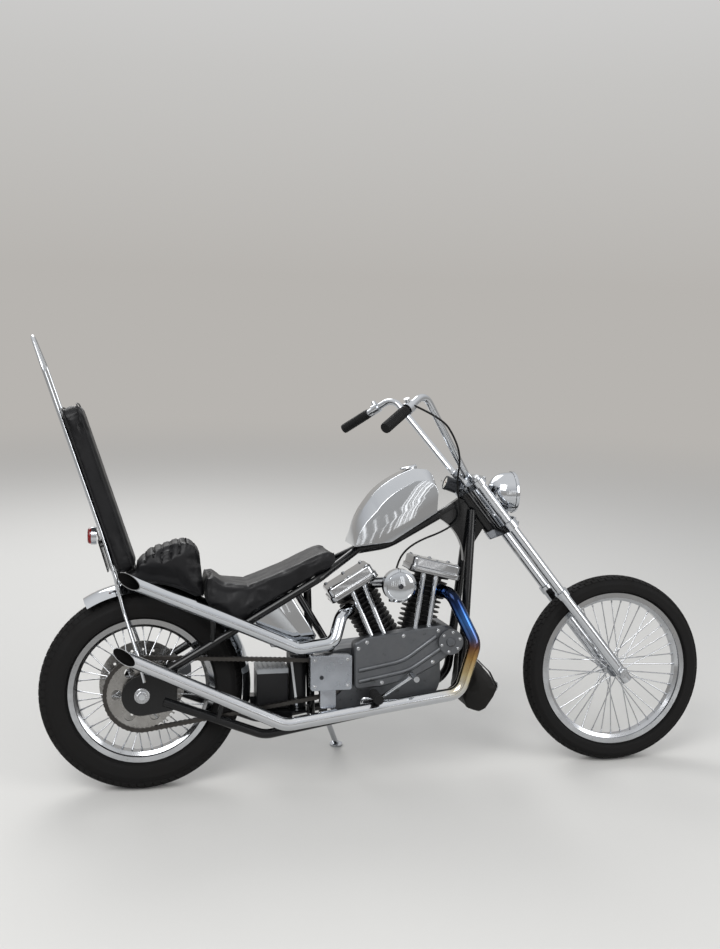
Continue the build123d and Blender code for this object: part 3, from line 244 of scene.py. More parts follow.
def make_materials():
    """Every finish of the machine, by the short name that the pieces use."""
    look = bpy.context.scene.chopper_finish
    plate = "#C8CACD"

    def finish(key, *looks, **more):
        MATERIALS[key] = surface(*looks, **more)

    # Bright chrome plate: a mirror with a faint cool drift and a breath of haze where it was wiped
    finish("chrome", "bright_chrome_plate", plate, "#B8BCC1", 1.0, (0.03, 0.09), 160, 9, 0.006)
    # Chrome plate over a hand-beaten sheet: the same mirror with a slow ripple that bends what it shows
    finish("beaten", "chrome_plate_on_beaten_sheet", plate, "#B4B8BD", 1.0, (0.03, 0.08), 160, 62, 0.42)
    # Road-worn chrome on wheels: the same plate with dull brake and chain grime in specks
    finish("wheel_chrome", "road_worn_chrome_plate", plate, "#9B9DA0", 1.0, (0.06, 0.20), 60, 4, 0.01,
           speck="#56524C", speck_mm=12)
    MATERIALS["heat"] = heat_tinted_chrome()
    # Buffed aluminium casting: bright but soft-edged, with the swirl of a polishing mop
    finish("polished", "buffed_aluminium_casting", "#B4B5B7", "#939598", 1.0, (0.05, 0.15), 50, 3, 0.015,
           speck="#6C6A66", speck_mm=25, speck_share=0.68)
    # Sand-cast aluminium: matt grey, partly its own dull tone and partly painted shade that makes it darker
    # than bare metal, with a sand grain 1.5 mm coarse and oil stains
    finish("cast", "sand_cast_aluminium", "#6A6C6F", "#525457", 1.0, (0.36, 0.56), 45, 1.5, 0.12,
           speck="#3A3733", speck_mm=30, speck_share=0.6)
    # Brushed aluminium plate: fine scratches that run forwards, 0.6 mm apart; its cool blue cast is a painted
    # reflection of sky
    finish("brushed", "brushed_aluminium_plate", "#AEB2B9", "#8B9097", 1.0, (0.16, 0.32), 70, 0.6, 0.05,
           stretch=(0.05, 1, 1))
    # Gloss enamel over steel tube: deep black under a clear coat with a slight orange peel
    finish("enamel", "gloss_black_enamel", "#050506", "#0A0B0D", 0.0, (0.16, 0.30), 90, 6, 0.02,
           shader={"Coat Weight": 0.3, "Coat Roughness": 0.04, "Specular IOR Level": 0.2}, speck="#24221F",
           speck_mm=18, speck_share=0.7)
    # Heat-proof black on cast iron: satin, dusty, rough from the mould
    finish("iron", "heat_black_cast_iron", "#101011", "#1A1A1B", 0.0, (0.4, 0.6), 40, 1.8, 0.15,
           shader={"Specular IOR Level": 0.25}, speck="#3A3835", speck_mm=16, speck_share=0.66)
    # Stamped steel of the chain: dark with oil and road dirt, rust-brown in specks
    finish("steel", "oiled_stamped_steel", "#4E4C4A", "#3A3836", 1.0, (0.28, 0.5), 30, 2, 0.03,
           speck="#2A221B", speck_mm=10, speck_share=0.62)
    # Turned steel of sprocket and disc: bright where the pads and the chain rub, with oil in specks
    finish("turned", "face_turned_steel", "#A5A4A2", "#82807D", 1.0, (0.16, 0.34), 40, 1, 0.03,
           speck="#4E4841", speck_mm=12, speck_share=0.66)
    # Tyre rubber: blue-black when new, greyed by road dust in broad patches
    finish("tyre", "vulcanised_tyre_rubber", look.rubber_code, "#191817", 0.0, (0.62, 0.85), 70, 1.2, 0.2,
           shader={"Specular IOR Level": 0.12}, speck="#242220", speck_mm=35, speck_share=0.68)
    # Moulded rubber of grips, pegs and cable jackets: softer black with a mould grain
    finish("rubber", "moulded_grip_rubber", "#0B0B0C", "#151515", 0.0, (0.5, 0.7), 30, 1, 0.08,
           shader={"Specular IOR Level": 0.18})
    MATERIALS["vinyl"] = seat_vinyl("embossed_black_vinyl", 2.2)
    # Saddle leather: black with a brown cast, dry in patches, pores 1.6 mm apart
    finish("leather", "vegetable_tanned_leather", "#080807", "#12100E", 0.0, (0.40, 0.62), 35, 1.6, 0.25,
           shader={"Specular IOR Level": 0.2}, speck="#221D18", speck_mm=22, speck_share=0.68)
    # Moulded case plastic of battery and box: satin black with a spark-eroded texture
    finish("case", "moulded_case_plastic", "#0C0C0D", "#141416", 0.0, (0.38, 0.55), 50, 0.9, 0.05,
           shader={"Specular IOR Level": 0.22}, speck="#2A2926", speck_mm=24, speck_share=0.7)
    # Battery lid: silver-grey moulded plastic
    finish("lid", "grey_battery_lid_plastic", "#8D9092", "#787B7E", 0.0, (0.35, 0.5), 30, 1, 0.05)
    MATERIALS["glass"] = lamp_glass()
    # Red moulded acrylic: deep colour with light passing through its rim
    finish("red", "moulded_red_acrylic", "#8E0B0B", "#6A0606", 0.0, (0.08, 0.16), 30, 3, 0.05,
           shader={"Transmission Weight": 0.35, "IOR": 1.49})
    # Dial print: warm white enamel
    finish("dial", "printed_dial_enamel", "#E9E7DF", "#DAD7CC", 0.0, (0.3, 0.42), 20, 1, 0.02)
    # Speedometer can: spun steel in satin black
    finish("can", "satin_black_spun_steel", "#26272A", "#34363A", 0.6, (0.28, 0.42), 25, 2, 0.02)
    # Soot and carbon on the bore of a pipe, and painted shade of the open bore: dead black, dry and crumbly
    finish("soot", "soot_on_pipe_bore", "#040404", "#0A0908", 0.0, (0.8, 0.95), 20, 1, 0.1,
           shader={"Specular IOR Level": 0.1})
    # Pressed fibre gasket: near black, oily at its edge
    finish("gasket", "pressed_fibre_gasket", "#0D0C0B", "#1A1815", 0.0, (0.5, 0.7), 15, 0.8, 0.05)
    # Zinc-plated fasteners: bright grey with a dull cast
    finish("zinc", "zinc_plated_fastener_steel", "#BFC1C4", "#9EA0A3", 1.0, (0.18, 0.34), 12, 1, 0.02)


# Meshes


def turns(count, first=0.0):
    """Equal steps of a full turn, in radians."""
    return [math.tau * i / count + first for i in range(count)]


def reworked(mesh, change):
    """The mesh after a change made to it in bmesh."""
    work = bmesh.new()
    work.from_mesh(mesh)
    change(work)
    work.to_mesh(mesh)
    work.free()
    return mesh


def mesh_of(name, points, faces):
    """A mesh from points in metres, with doubles merged and normals outward."""
    mesh = bpy.data.meshes.new(name)
    mesh.from_pydata([tuple(p) for p in points], [], faces)

    def close(work):
        bmesh.ops.remove_doubles(work, verts=work.verts, dist=1e-6)
        bmesh.ops.recalc_face_normals(work, faces=work.faces)

    return reworked(mesh, close)


def prism(name, low, high):
    """A closed solid between two outlines of as many points."""
    count = len(low)
    faces = [tuple(range(count)), tuple(range(2 * count - 1, count - 1, -1))]
    faces += [(i, i + count, (i + 1) % count + count, (i + 1) % count) for i in range(count)]
    return mesh_of(name, low + high, faces)


def lofted(name, rings, closed=True, caps=()):
    """A skin over rings of as many points in millimetres, joined back to the first one or capped."""
    count = len(rings[0])
    faces = []
    for step in range(len(rings) if closed else len(rings) - 1):
        here, ahead = step * count, (step + 1) % len(rings) * count
        for index in range(count):
            after = (index + 1) % count
            faces.append((here + index, ahead + index, ahead + after, here + after))
    return mesh_of(name, [point * MM for ring in rings for point in ring], faces + list(caps))


def turned(name, profile, centre, axis, steps=64):
    """A turned shape: a closed profile of (radius, along) in millimetres round an axis."""
    axis = Vector(axis).normalized()
    across = axis.orthogonal().normalized()
    other = axis.cross(across)
    rings = []
    for turn in turns(steps):
        out = across * math.cos(turn) + other * math.sin(turn)
        rings.append([Vector(centre) + out * radius + axis * along for radius, along in profile])
    return lofted(name, rings)


def joined(name, meshes):
    """Several meshes as one."""
    work = bmesh.new()
    for mesh in meshes:
        work.from_mesh(mesh)
    result = bpy.data.meshes.new(name)
    work.to_mesh(result)
    work.free()
    return result


def slab(name, outline, y_low, y_high, bevel_mm=2.0):
    """A plate from a side outline in millimetres, from one y to another, with its edges eased."""
    low, high = ([upright(x, y, z) for x, z in outline] for y in (y_low, y_high))
    return reworked(prism(name, low, high), lambda work: bmesh.ops.bevel(
        work, geom=work.edges, offset=bevel_mm * MM, segments=3, affect="EDGES"))


def eased(source, name, ease_mm, angle=25.0):
    """A copy of a CAD node whose sharp edges are rounded over, as pressed and cast metal is."""
    work = bmesh.new()
    work.from_mesh(NODES[source].data)
    bmesh.ops.remove_doubles(work, verts=work.verts, dist=1e-5)
    bmesh.ops.dissolve_limit(work, angle_limit=math.radians(1.0), verts=work.verts, edges=work.edges)
    sharp = [edge for edge in work.edges
             if edge.is_manifold and edge.calc_face_angle(0.0) > math.radians(angle)]
    bmesh.ops.bevel(work, geom=sharp, offset=ease_mm * MM, segments=4, profile=0.5, affect="EDGES",
                    clamp_overlap=True)
    mesh = bpy.data.meshes.new(name)
    work.to_mesh(mesh)
    work.free()
    return mesh


def soot_and_shade_liner(name, corner, end, cut):
    """A thin black tube in a slash-cut pipe end, partly soot and partly painted shade of the bore: a straight
    run from a corner to its end, cut at a point.
    """
    inward = (Vector(corner) - Vector(end)).normalized()
    normal = Vector((math.sin(math.radians(30)), math.cos(math.radians(30)), 0))
    across = inward.cross(LEFT).normalized()
    rings = []
    for turn in turns(48):
        out = across * math.cos(turn) + LEFT * math.sin(turn)
        ring = []
        for radius, back, deep in ((20.35, 0.6, 0), (19.6, 0.6, 0), (19.6, 0, 150), (20.35, 0, 154)):
            place = Vector(end) + out * radius
            reach = normal.dot(Vector(cut) - place) / normal.dot(inward)
            ring.append(place + inward * (deep or reach + back))
        rings.append(ring)
    return lofted(name, rings, caps=[tuple(step * 4 + 2 for step in range(len(rings)))])


def baked(holder, *helpers):
    """The evaluated mesh of an object, which is then taken away with its helpers."""
    graph = bpy.context.evaluated_depsgraph_get()
    mesh = bpy.data.meshes.new_from_object(holder.evaluated_get(graph))
    for item in (holder, *helpers):
        bpy.data.objects.remove(item)
    return mesh


def linked(name, data):
    """A new object in the scene."""
    made = bpy.data.objects.new(name, data)
    bpy.context.scene.collection.objects.link(made)
    return made


def bent_tube(name, points, radius_mm, sides=6, steps=8, caps=True):
    """A tube along a smooth NURBS line, whose control points are given in metres."""
    curve = bpy.data.curves.new(name, "CURVE")
    curve.dimensions = "3D"
    spline = curve.splines.new("NURBS")
    spline.points.add(len(points) - 1)
    for point, place in zip(spline.points, points):
        point.co = (*place, 1.0)
    spline.order_u = 3
    spline.use_endpoint_u = True
    spline.resolution_u = steps
    curve.bevel_depth = radius_mm * MM
    curve.bevel_resolution = sides
    curve.use_fill_caps = caps
    return baked(linked(name, curve))


def piece(name, mesh, body, material, slot, parked=True, smooth=True):
    """A finished piece: its mesh set in the parked place, with its finish, riding on a body."""
    if parked:
        mesh.transform(PARKED)
    mesh.materials.clear()
    mesh.materials.append(MATERIALS[material])
    mesh.polygons.foreach_set("use_smooth", [smooth] * len(mesh.polygons))
    if smooth:
        mesh.set_sharp_from_angle(angle=SHARP_ANGLE)
    mesh.update()
    made = linked(name, mesh)
    if body:
        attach(made, body)
    return made


def turned_piece(name, profile, centre, axis, steps, *rest):
    """A turned piece: its shape, then its body, finish and slot; the slot is not used."""
    return piece(name, turned(name, profile, centre, axis, steps), *rest)


# Repeats, by Geometry Nodes


def copies_tree():
    """Copies of a template on points, turned by each point's own turn and sized by named inputs."""
    name = "copies_on_points"
    if name in bpy.data.node_groups:
        return bpy.data.node_groups[name]
    tree = bpy.data.node_groups.new(name, "GeometryNodeTree")
    tree.interface.new_socket("Geometry", in_out="OUTPUT", socket_type="NodeSocketGeometry")
    for label, kind in (("Points", "NodeSocketGeometry"), ("Template", "NodeSocketObject"),
                        ("Width", "NodeSocketFloat"), ("Height", "NodeSocketFloat"),
                        ("Finish", "NodeSocketMaterial")):
        tree.interface.new_socket(label, in_out="INPUT", socket_type=kind)
    start = node(tree, "NodeGroupInput")
    shape = node(tree, "GeometryNodeObjectInfo", {"transform_space": "ORIGINAL"},
                 {"Object": start.outputs[1]})
    turn = node(tree, "GeometryNodeInputNamedAttribute", {"data_type": "FLOAT_VECTOR", "Name": "turn"})
    spin = node(tree, "FunctionNodeEulerToRotation", None, {0: turn})
    share = node(tree, "GeometryNodeInputNamedAttribute", {"data_type": "FLOAT", "Name": "share"})
    size = node(tree, "ShaderNodeCombineXYZ", None,
                {0: start.outputs[2], 1: start.outputs[2], 2: start.outputs[3]})
    scale = node(tree, "ShaderNodeVectorMath", {"operation": "SCALE"}, {0: size, 3: share})
    laid = node(tree, "GeometryNodeInstanceOnPoints", None,
                {"Points": start.outputs[0], "Instance": shape.outputs["Geometry"],
                 "Rotation": spin, "Scale": scale})
    real = node(tree, "GeometryNodeRealizeInstances", None, {0: laid})
    done = node(tree, "GeometryNodeSetMaterial", None, {"Geometry": real, "Material": start.outputs[4]})
    node(tree, "NodeGroupOutput", None, {0: done})
    return tree


def copies(name, template, places, material, width=1.0, height=1.0):
    """A template repeated at places, each a point, a turn or a direction, and a share of the size."""
    aims, shares = [], []
    for place in places:
        aim = place[1]
        aims += aim if isinstance(aim, tuple) else Vector(aim).to_track_quat("Z", "Y").to_euler()
        shares.append(place[2] if len(place) > 2 else 1.0)
    dots = bpy.data.meshes.new(name + "_points")
    dots.from_pydata([tuple(Vector(place[0]) * MM) for place in places], [], [])
    dots.attributes.new("turn", "FLOAT_VECTOR", "POINT").data.foreach_set("vector", aims)
    dots.attributes.new("share", "FLOAT", "POINT").data.foreach_set("value", shares)
    holder, pattern = linked(name + "_holder", dots), linked(name + "_template", template)
    tree = copies_tree()
    modifier = holder.modifiers.new("copies", "NODES")
    modifier.node_group = tree
    values = {"Template": pattern, "Width": width, "Height": height, "Finish": MATERIALS[material]}
    for socket in tree.interface.items_tree:
        if socket.in_out == "INPUT" and socket.name in values:
            modifier[socket.identifier] = values[socket.name]
    return baked(holder, pattern)


def bolt_template():
    """A hexagon head on a washer, one millimetre across its corners' radius and one high."""
    head = ((0.001, 1.0), (0.86, 1.0), (1.0, 0.9), (1.0, 0.2), (0.001, 0.2))
    washer = ((0.001, 0.22), (1.3, 0.22), (1.36, 0.16), (1.36, -0.1), (0.001, -0.1))
    return joined("bolt_template", [turned("bolt", profile, (0, 0, 0), (0, 0, 1), steps)
                                    for profile, steps in ((head, 6), (washer, 24))])


def ring_template(radius, wire):
    """A rubber ring of a round section."""
    section = [(radius + wire * math.cos(a), wire * math.sin(a)) for a in turns(8)]
    return turned("ring_template", section, (0, 0, 0), (0, 0, 1), 32)


# Property groups


class ChopperStage(bpy.types.PropertyGroup):
    """The floor, the lamps and the camera."""

    floor_size: FloatProperty(name="Floor Radius", description="Radius of the round floor", default=30.0,
                              unit="LENGTH")
    key_power: FloatProperty(name="Key Power", description="Power of the large soft lamp", default=230.0)
    fill_power: FloatProperty(name="Fill Power", description="Power of the lamp on the shadow side",
                              default=90.0)
    sky_light: FloatProperty(name="Sky Light", description="Strength of the light from all round",
                             default=0.62)
    focal_length: FloatProperty(name="Focal Length", description="Lens of the camera, in millimetres",
                                default=FOCAL_PIXELS / IMAGE_HEIGHT * SENSOR_WIDTH)


class ChopperFinish(bpy.types.PropertyGroup):
    """Colours of the finishes."""

    rubber_code: bpy.props.StringProperty(name="Tyre Colour", description="Tyre rubber as an sRGB hex colour",
                                          default="#0E0E0F")
    floor_colour: FloatVectorProperty(name="Floor Colour", description="Colour of the floor", subtype="COLOR",
                                      size=3, min=0.0, max=1.0, default=paint("#C4C3C0")[:3])


class ChopperTyre(bpy.types.PropertyGroup):
    """Tread of both tyres."""

    tread_pitches: IntProperty(name="Tread Pitches", description="Tread blocks round each tyre", default=76,
                               min=8)
    groove_depth: FloatProperty(name="Groove Depth", description="Depth of the tread in millimetres",
                                default=4.0)
    block_share: FloatProperty(name="Block Share", description="Share of each pitch that is rubber",
                               default=0.84, subtype="FACTOR")


class ChopperSeat(bpy.types.PropertyGroup):
    """Padding of seat, pad and backrest."""

    pleats: IntProperty(name="Pleats", description="Raised pleats across the passenger pad", default=7, min=1)
    pleat_depth: FloatProperty(name="Pleat Depth", description="Depth of the valleys in millimetres",
                               default=7.0)
    voxel: FloatProperty(name="Cloth Grid", description="Grid of the simulated cover", default=0.006,
                         unit="LENGTH")
    swell: FloatProperty(name="Swell", description="How far the foam pushes the cover out, in millimetres",
                         default=9.0)


class ChopperFastener(bpy.types.PropertyGroup):
    """Bolts and screws."""

    head_radius: FloatProperty(name="Head Radius", description="Radius of a bolt head in millimetres",
                               default=6.5)
    head_height: FloatProperty(name="Head Height", description="Height of a bolt head in millimetres",
                               default=5.0)


# Operators


class CHOPPER_OT_stage(bpy.types.Operator):
    """Make the floor, the lamps, the world and the camera"""

    bl_idname = "chopper.stage"
    bl_label = "Stage"

    horizon = "#B7B4B0"
    # A bank of weak strip lamps behind the camera, for flat chrome to reflect. Where they stand across the
    # machine, how high their feet are, how bright they look, and each one's place along it, width and height
    strip_line, strip_foot, strip_glow = -4.2, 0.75, 1.5
    strips = ((-0.62, 0.05, 0.8), (-0.34, 0.03, 0.8), (-0.18, 0.06, 0.8), (0.12, 0.03, 0.8),
              (0.42, 0.02, 0.8), (0.66, 0.04, 0.8), (0.84, 0.03, 1.6), (0.95, 0.06, 1.6), (1.05, 0.02, 1.6),
              (1.14, 0.05, 1.6), (1.22, 0.02, 1.6), (1.32, 0.08, 1.6), (1.46, 0.03, 1.6))

    def execute(self, context):
        stage = context.scene.chopper_stage
        scene = context.scene
        scene.view_settings.view_transform = "Standard"
        rim = around(0, 0, 0, stage.floor_size, turns(96))
        mesh = bpy.data.meshes.new("floor")
        mesh.from_pydata([(0, 0, 0)] + [(p.x, p.z, 0) for p in rim], [],
                         [(0, i + 1, (i + 1) % len(rim) + 1) for i in range(len(rim))])
        floor = linked("floor", mesh)
        colour = scene.chopper_finish.floor_colour
        material, tree = blank_material("pale_studio_floor")
        place = node(tree, "ShaderNodeTexCoord").outputs["Object"]
        cloud = node(tree, "ShaderNodeTexNoise", {"Scale": 1.4, "Detail": 3.0}, {"Vector": place})
        gloss = node(tree, "ShaderNodeMapRange", {"To Min": 0.75, "To Max": 0.9}, {"Value": cloud})
        skin = node(tree, "ShaderNodeBsdfPrincipled", {"Base Color": (*colour, 1.0)},
                    {"Roughness": gloss})
        reach = node(tree, "ShaderNodeVectorMath", {"operation": "LENGTH"}, {0: place}).outputs["Value"]
        far = node(tree, "ShaderNodeMapRange", {"interpolation_type": "SMOOTHSTEP", "From Min": 3.0,
                                                "From Max": 10.0}, {"Value": reach})
        share = node(tree, "ShaderNodeMath", {"operation": "MULTIPLY"}, {0: far, 1: self.sight(tree)})
        haze = node(tree, "ShaderNodeEmission", {"Color": paint(self.horizon), "Strength": 1.0})
        both = node(tree, "ShaderNodeMixShader", None, {0: share, 1: skin, 2: haze})
        node(tree, "ShaderNodeOutputMaterial", None, {"Surface": both})
        mesh.materials.append(material)
        self.make_world(stage)
        for name, place, size, power in (("key_lamp", (-2.6, -3.6, 4.4), 3.4, stage.key_power),
                                         ("fill_lamp", (3.6, -3.2, 2.6), 2.6, stage.fill_power),
                                         ("rim_lamp", (-1.2, 4.0, 4.2), 3.0, stage.fill_power * 1.5)):
            way = Vector(place) - Vector((0, 0, 0.6))
            self.lamp(name, place, way.to_track_quat("Z", "Y").to_euler(), power, size)
        for index, (x, width, tall) in enumerate(self.strips):
            place = (x, self.strip_line, self.strip_foot + tall / 2)
            power = self.strip_glow * math.pi * width * tall
            self.lamp("strip_lamp_%d" % index, place, (math.radians(90), 0, 0), power, width, tall)
        self.make_camera(stage)
        return {"FINISHED"}

    def lamp(self, name, place, turn, power, width, tall=None):
        """Add a flat lamp; one with a height of its own is a strip, which the camera doesn't see."""
        data = bpy.data.lights.new(name, "AREA")
        data.energy = power
        data.size = width
        made = linked(name, data)
        if tall:
            data.shape = "RECTANGLE"
            data.size_y = tall
            made.visible_camera = False
        made.location = place
        made.rotation_euler = turn

    def sight(self, tree):
        """One for what is seen directly, in a mirror or through glass, and nought for what only lights."""
        path = node(tree, "ShaderNodeLightPath")
        seen = node(tree, "ShaderNodeMath", {"operation": "MAXIMUM"},
                    {0: path.outputs["Is Camera Ray"], 1: path.outputs["Is Glossy Ray"]})
        seen = node(tree, "ShaderNodeMath", {"operation": "MAXIMUM"},
                    {0: seen, 1: path.outputs["Is Transmission Ray"]})
        return seen

    def make_world(self, stage):
        """Even light from all round; what shows behind and in the chrome is a pale sky, darker low down."""
        world = bpy.data.worlds.new("studio")
        bpy.context.scene.world = world
        world.use_nodes = True
        tree = world.node_tree
        tree.nodes.clear()
        way = node(tree, "ShaderNodeTexCoord").outputs["Generated"]
        height = node(tree, "ShaderNodeSeparateXYZ", None, {0: way}).outputs["Z"]
        ramp = node(tree, "ShaderNodeValToRGB", None, {0: height})
        fill_ramp(ramp, ((0.0, self.horizon), (0.17, "#C6C5C3"), (0.42, "#E2E3E5"), (0.78, "#FFFFFF")))
        lit = node(tree, "ShaderNodeBackground", {"Color": paint("#F4F6FA"), "Strength": stage.sky_light})
        seen = node(tree, "ShaderNodeBackground", {"Strength": 1.0}, {"Color": ramp})
        both = node(tree, "ShaderNodeMixShader", None, {0: self.sight(tree), 1: lit, 2: seen})
        node(tree, "ShaderNodeOutputWorld", None, {"Surface": both})

    def make_camera(self, stage):
        """The photograph's camera, solved from the two rims and set beside the leaning machine."""
        yaw, pitch, roll = math.radians(12.407), math.radians(0.731), math.radians(0.215)
        ahead = Vector((math.sin(yaw) * math.cos(pitch), math.cos(yaw) * math.cos(pitch), -math.sin(pitch)))
        right = Vector((math.cos(yaw), -math.sin(yaw), 0))
        up = right.cross(ahead)
        side = right * math.cos(roll) + up * math.sin(roll)
        top = up * math.cos(roll) - right * math.sin(roll)
        turn = Matrix((side, top, -ahead)).transposed().to_4x4()
        data = bpy.data.cameras.new("photo_camera")
        data.lens = stage.focal_length
        data.sensor_width = SENSOR_WIDTH
        data.shift_x = (IMAGE_WIDTH / 2 - LENS_X) / IMAGE_HEIGHT
        data.shift_y = (LENS_Y - IMAGE_HEIGHT / 2) / IMAGE_HEIGHT
        camera = linked("photo_camera", data)
        camera.matrix_world = PARKED @ Matrix.Translation((0.0356, -3.9124, 1.2132)) @ turn
        bpy.context.scene.camera = camera


class CHOPPER_OT_finishes(bpy.types.Operator):
    """Give every carried-over node its finish"""

    bl_idname = "chopper.finishes"
    bl_label = "Finishes"

    worn_by = {
        "chrome": ("fork_tubes", "fork_sliders", "front_axle", "top_tree", "bottom_tree", "handlebar",
                   "headlight_shell", "fender", "sissy_bar", "fuel_tank", "oil_tank", "filler_cap",
                   "air_cleaner", "upper_pipe", "hand_controls", "tail_light", "foot_levers",
                   "pushrod_tubes", "rear_axle"),
        "wheel_chrome": ("rear_wheel", "front_wheel", "side_stand"),
        "heat": ("lower_pipe",),
        "polished": ("rocker_boxes", "primary_cover", "carburettor"),
        "cast": ("crankcase", "cam_cover", "generator", "brake_caliper"),
        "brushed": ("sprocket_cover",),
        "enamel": ("backbone", "axle_plates", "cradle", "upper_stays", "battery_tray", "pipe_hangers",
                   "plate_bracket"),
        "iron": ("cylinders",),
        "steel": ("drive_chain",),
        "turned": ("rear_sprocket", "brake_disc"),
        "rubber": ("grips", "foot_pegs"),
        "case": ("battery", "electrics_box"),
        "red": ("tail_lens",),
        "can": ("speedometer",),
    }

    def execute(self, context):
        make_materials()
        for finish, names in self.worn_by.items():
            for name in names:
                slots = NODES[name].data.materials
                for index in range(len(slots)):
                    slots[index] = MATERIALS[finish]
                if not slots:
                    slots.append(MATERIALS[finish])
        return {"FINISHED"}


class CHOPPER_OT_tyres(bpy.types.Operator):
    """Make both tyres, their side walls turned and their tread blocks repeated round them"""

    bl_idname = "chopper.tyres"
    bl_label = "Tyres"

    # Name, body, axle, outer radius, width, rim radius, rim width
    tyres = (("rear_tyre", "rear_wheel", REAR_AXLE, 339.5, 122.0, 242.5, 88.0),
             ("front_tyre", "front_wheel", FRONT_AXLE, 342.5, 90.0, 279.0, 58.0))

    # Radius of the crown across the tread, the tread's share of the width, the lip over the rim, steps up the
    # side wall, and which of them carry a ring that stands out
    crown, tread_share, lip, wall_steps, wall_rings, ring_out = 58.0, 0.76, 4, 12, (3, 8), 0.9

    def execute(self, context):
        tread = context.scene.chopper_tyre
        for name, body, axle, radius, width, rim, rim_width in self.tyres:
            shoulder = self.tread_share * width / 2
            bead = rim_width / 2 - 3.5
            carcass = self.outline(radius - tread.groove_depth, width, shoulder, rim, bead)
            skin = turned(name + "_carcass", carcass, axle, (0, 1, 0), 144)
            block = self.block(radius, shoulder, tread)
            places = [(axle, (0.0, turn, 0.0)) for turn in turns(tread.tread_pitches)]
            blocks = copies(name + "_tread", block, places, "tyre")
            made = piece(name + "_rubber", joined(name + "_rubber", [skin, blocks]), body, "tyre", "tyre")
            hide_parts(name)
        return {"FINISHED"}

    def reach(self, radius, y):
        """How far the crown stands from the axle at some distance from the tyre's middle."""
        return radius - self.crown + math.sqrt(self.crown ** 2 - y ** 2)

    def outline(self, radius, width, shoulder, rim, bead):
        """Half of the section from bead to crown, mirrored: rings on the side wall and a lip at the rim."""
        half = [(rim - 13.6, bead), (rim + 1, bead), (rim + self.lip, bead + 1.2)]
        edge = self.reach(radius, shoulder)
        middle = rim + 0.42 * (edge + 12 - rim)
        for index in range(1, self.wall_steps):
            share = index / self.wall_steps
            r = rim + self.lip + (edge - rim - self.lip) * share
            bulge = math.sqrt(max(0.0, 1 - ((r - middle) / (middle - rim + 14)) ** 2))
            y = bead + (width / 2 - 0.4 - bead) * bulge
            if index >= 10:
                y = y + (shoulder - y) * (index - 9) / 3
            half.append((r, y + (self.ring_out if index in self.wall_rings else 0.0)))
        for index in range(9):
            y = shoulder * (1 - index / 8)
            half.append((self.reach(radius, y), y))
        return half + [(r, -y) for r, y in reversed(half[:-1])]

    def block(self, radius, shoulder, tread):
        """Blocks of one pitch: three on each half of the tread, slanted and curved with the tyre."""
        pitch = math.tau / tread.tread_pitches
        points, faces = [], []

        def corner(first, deep, along, across):
            return first + deep * 16 + along * 4 + across

        # Each block reaches from one share of the shoulder to another, and slips round by a share of a pitch
        rows = ((0.03, 0.30, 0.0), (0.36, 0.68, 0.35), (0.74, 1.0, 0.7))
        for sign, (low, high, slip) in itertools.product((1, -1), rows):
            first = len(points)
            for deep, along, across in itertools.product((0, 1), range(4), range(4)):
                y = (low + (high - low) * across / 3) * shoulder
                lean = slip + 0.5 * (y / shoulder)
                turn = ((along / 3 - 0.5) * tread.block_share + lean * sign) * pitch
                drop = 0.05 if deep else tread.groove_depth + 1.5
                reach = self.reach(radius, y) - drop
                points.append(Vector((reach * math.cos(turn), y * sign, reach * math.sin(turn))) * MM)
            quads = [((1, a, b), (1, a + 1, b), (1, a + 1, b + 1), (1, a, b + 1))
                     for a in range(3) for b in range(3)]
            for a in range(3):
                quads += [((0, a, 0), (0, a + 1, 0), (1, a + 1, 0), (1, a, 0)),
                          ((0, a, 3), (1, a, 3), (1, a + 1, 3), (0, a + 1, 3)),
                          ((0, 0, a), (1, 0, a), (1, 0, a + 1), (0, 0, a + 1)),
                          ((0, 3, a), (0, 3, a + 1), (1, 3, a + 1), (1, 3, a))]
            quads.append(((0, 0, 0), (0, 0, 3), (0, 3, 3), (0, 3, 0)))
            faces += [tuple(corner(first, *spot) for spot in quad) for quad in quads]
        return mesh_of("tread_block", points, faces)


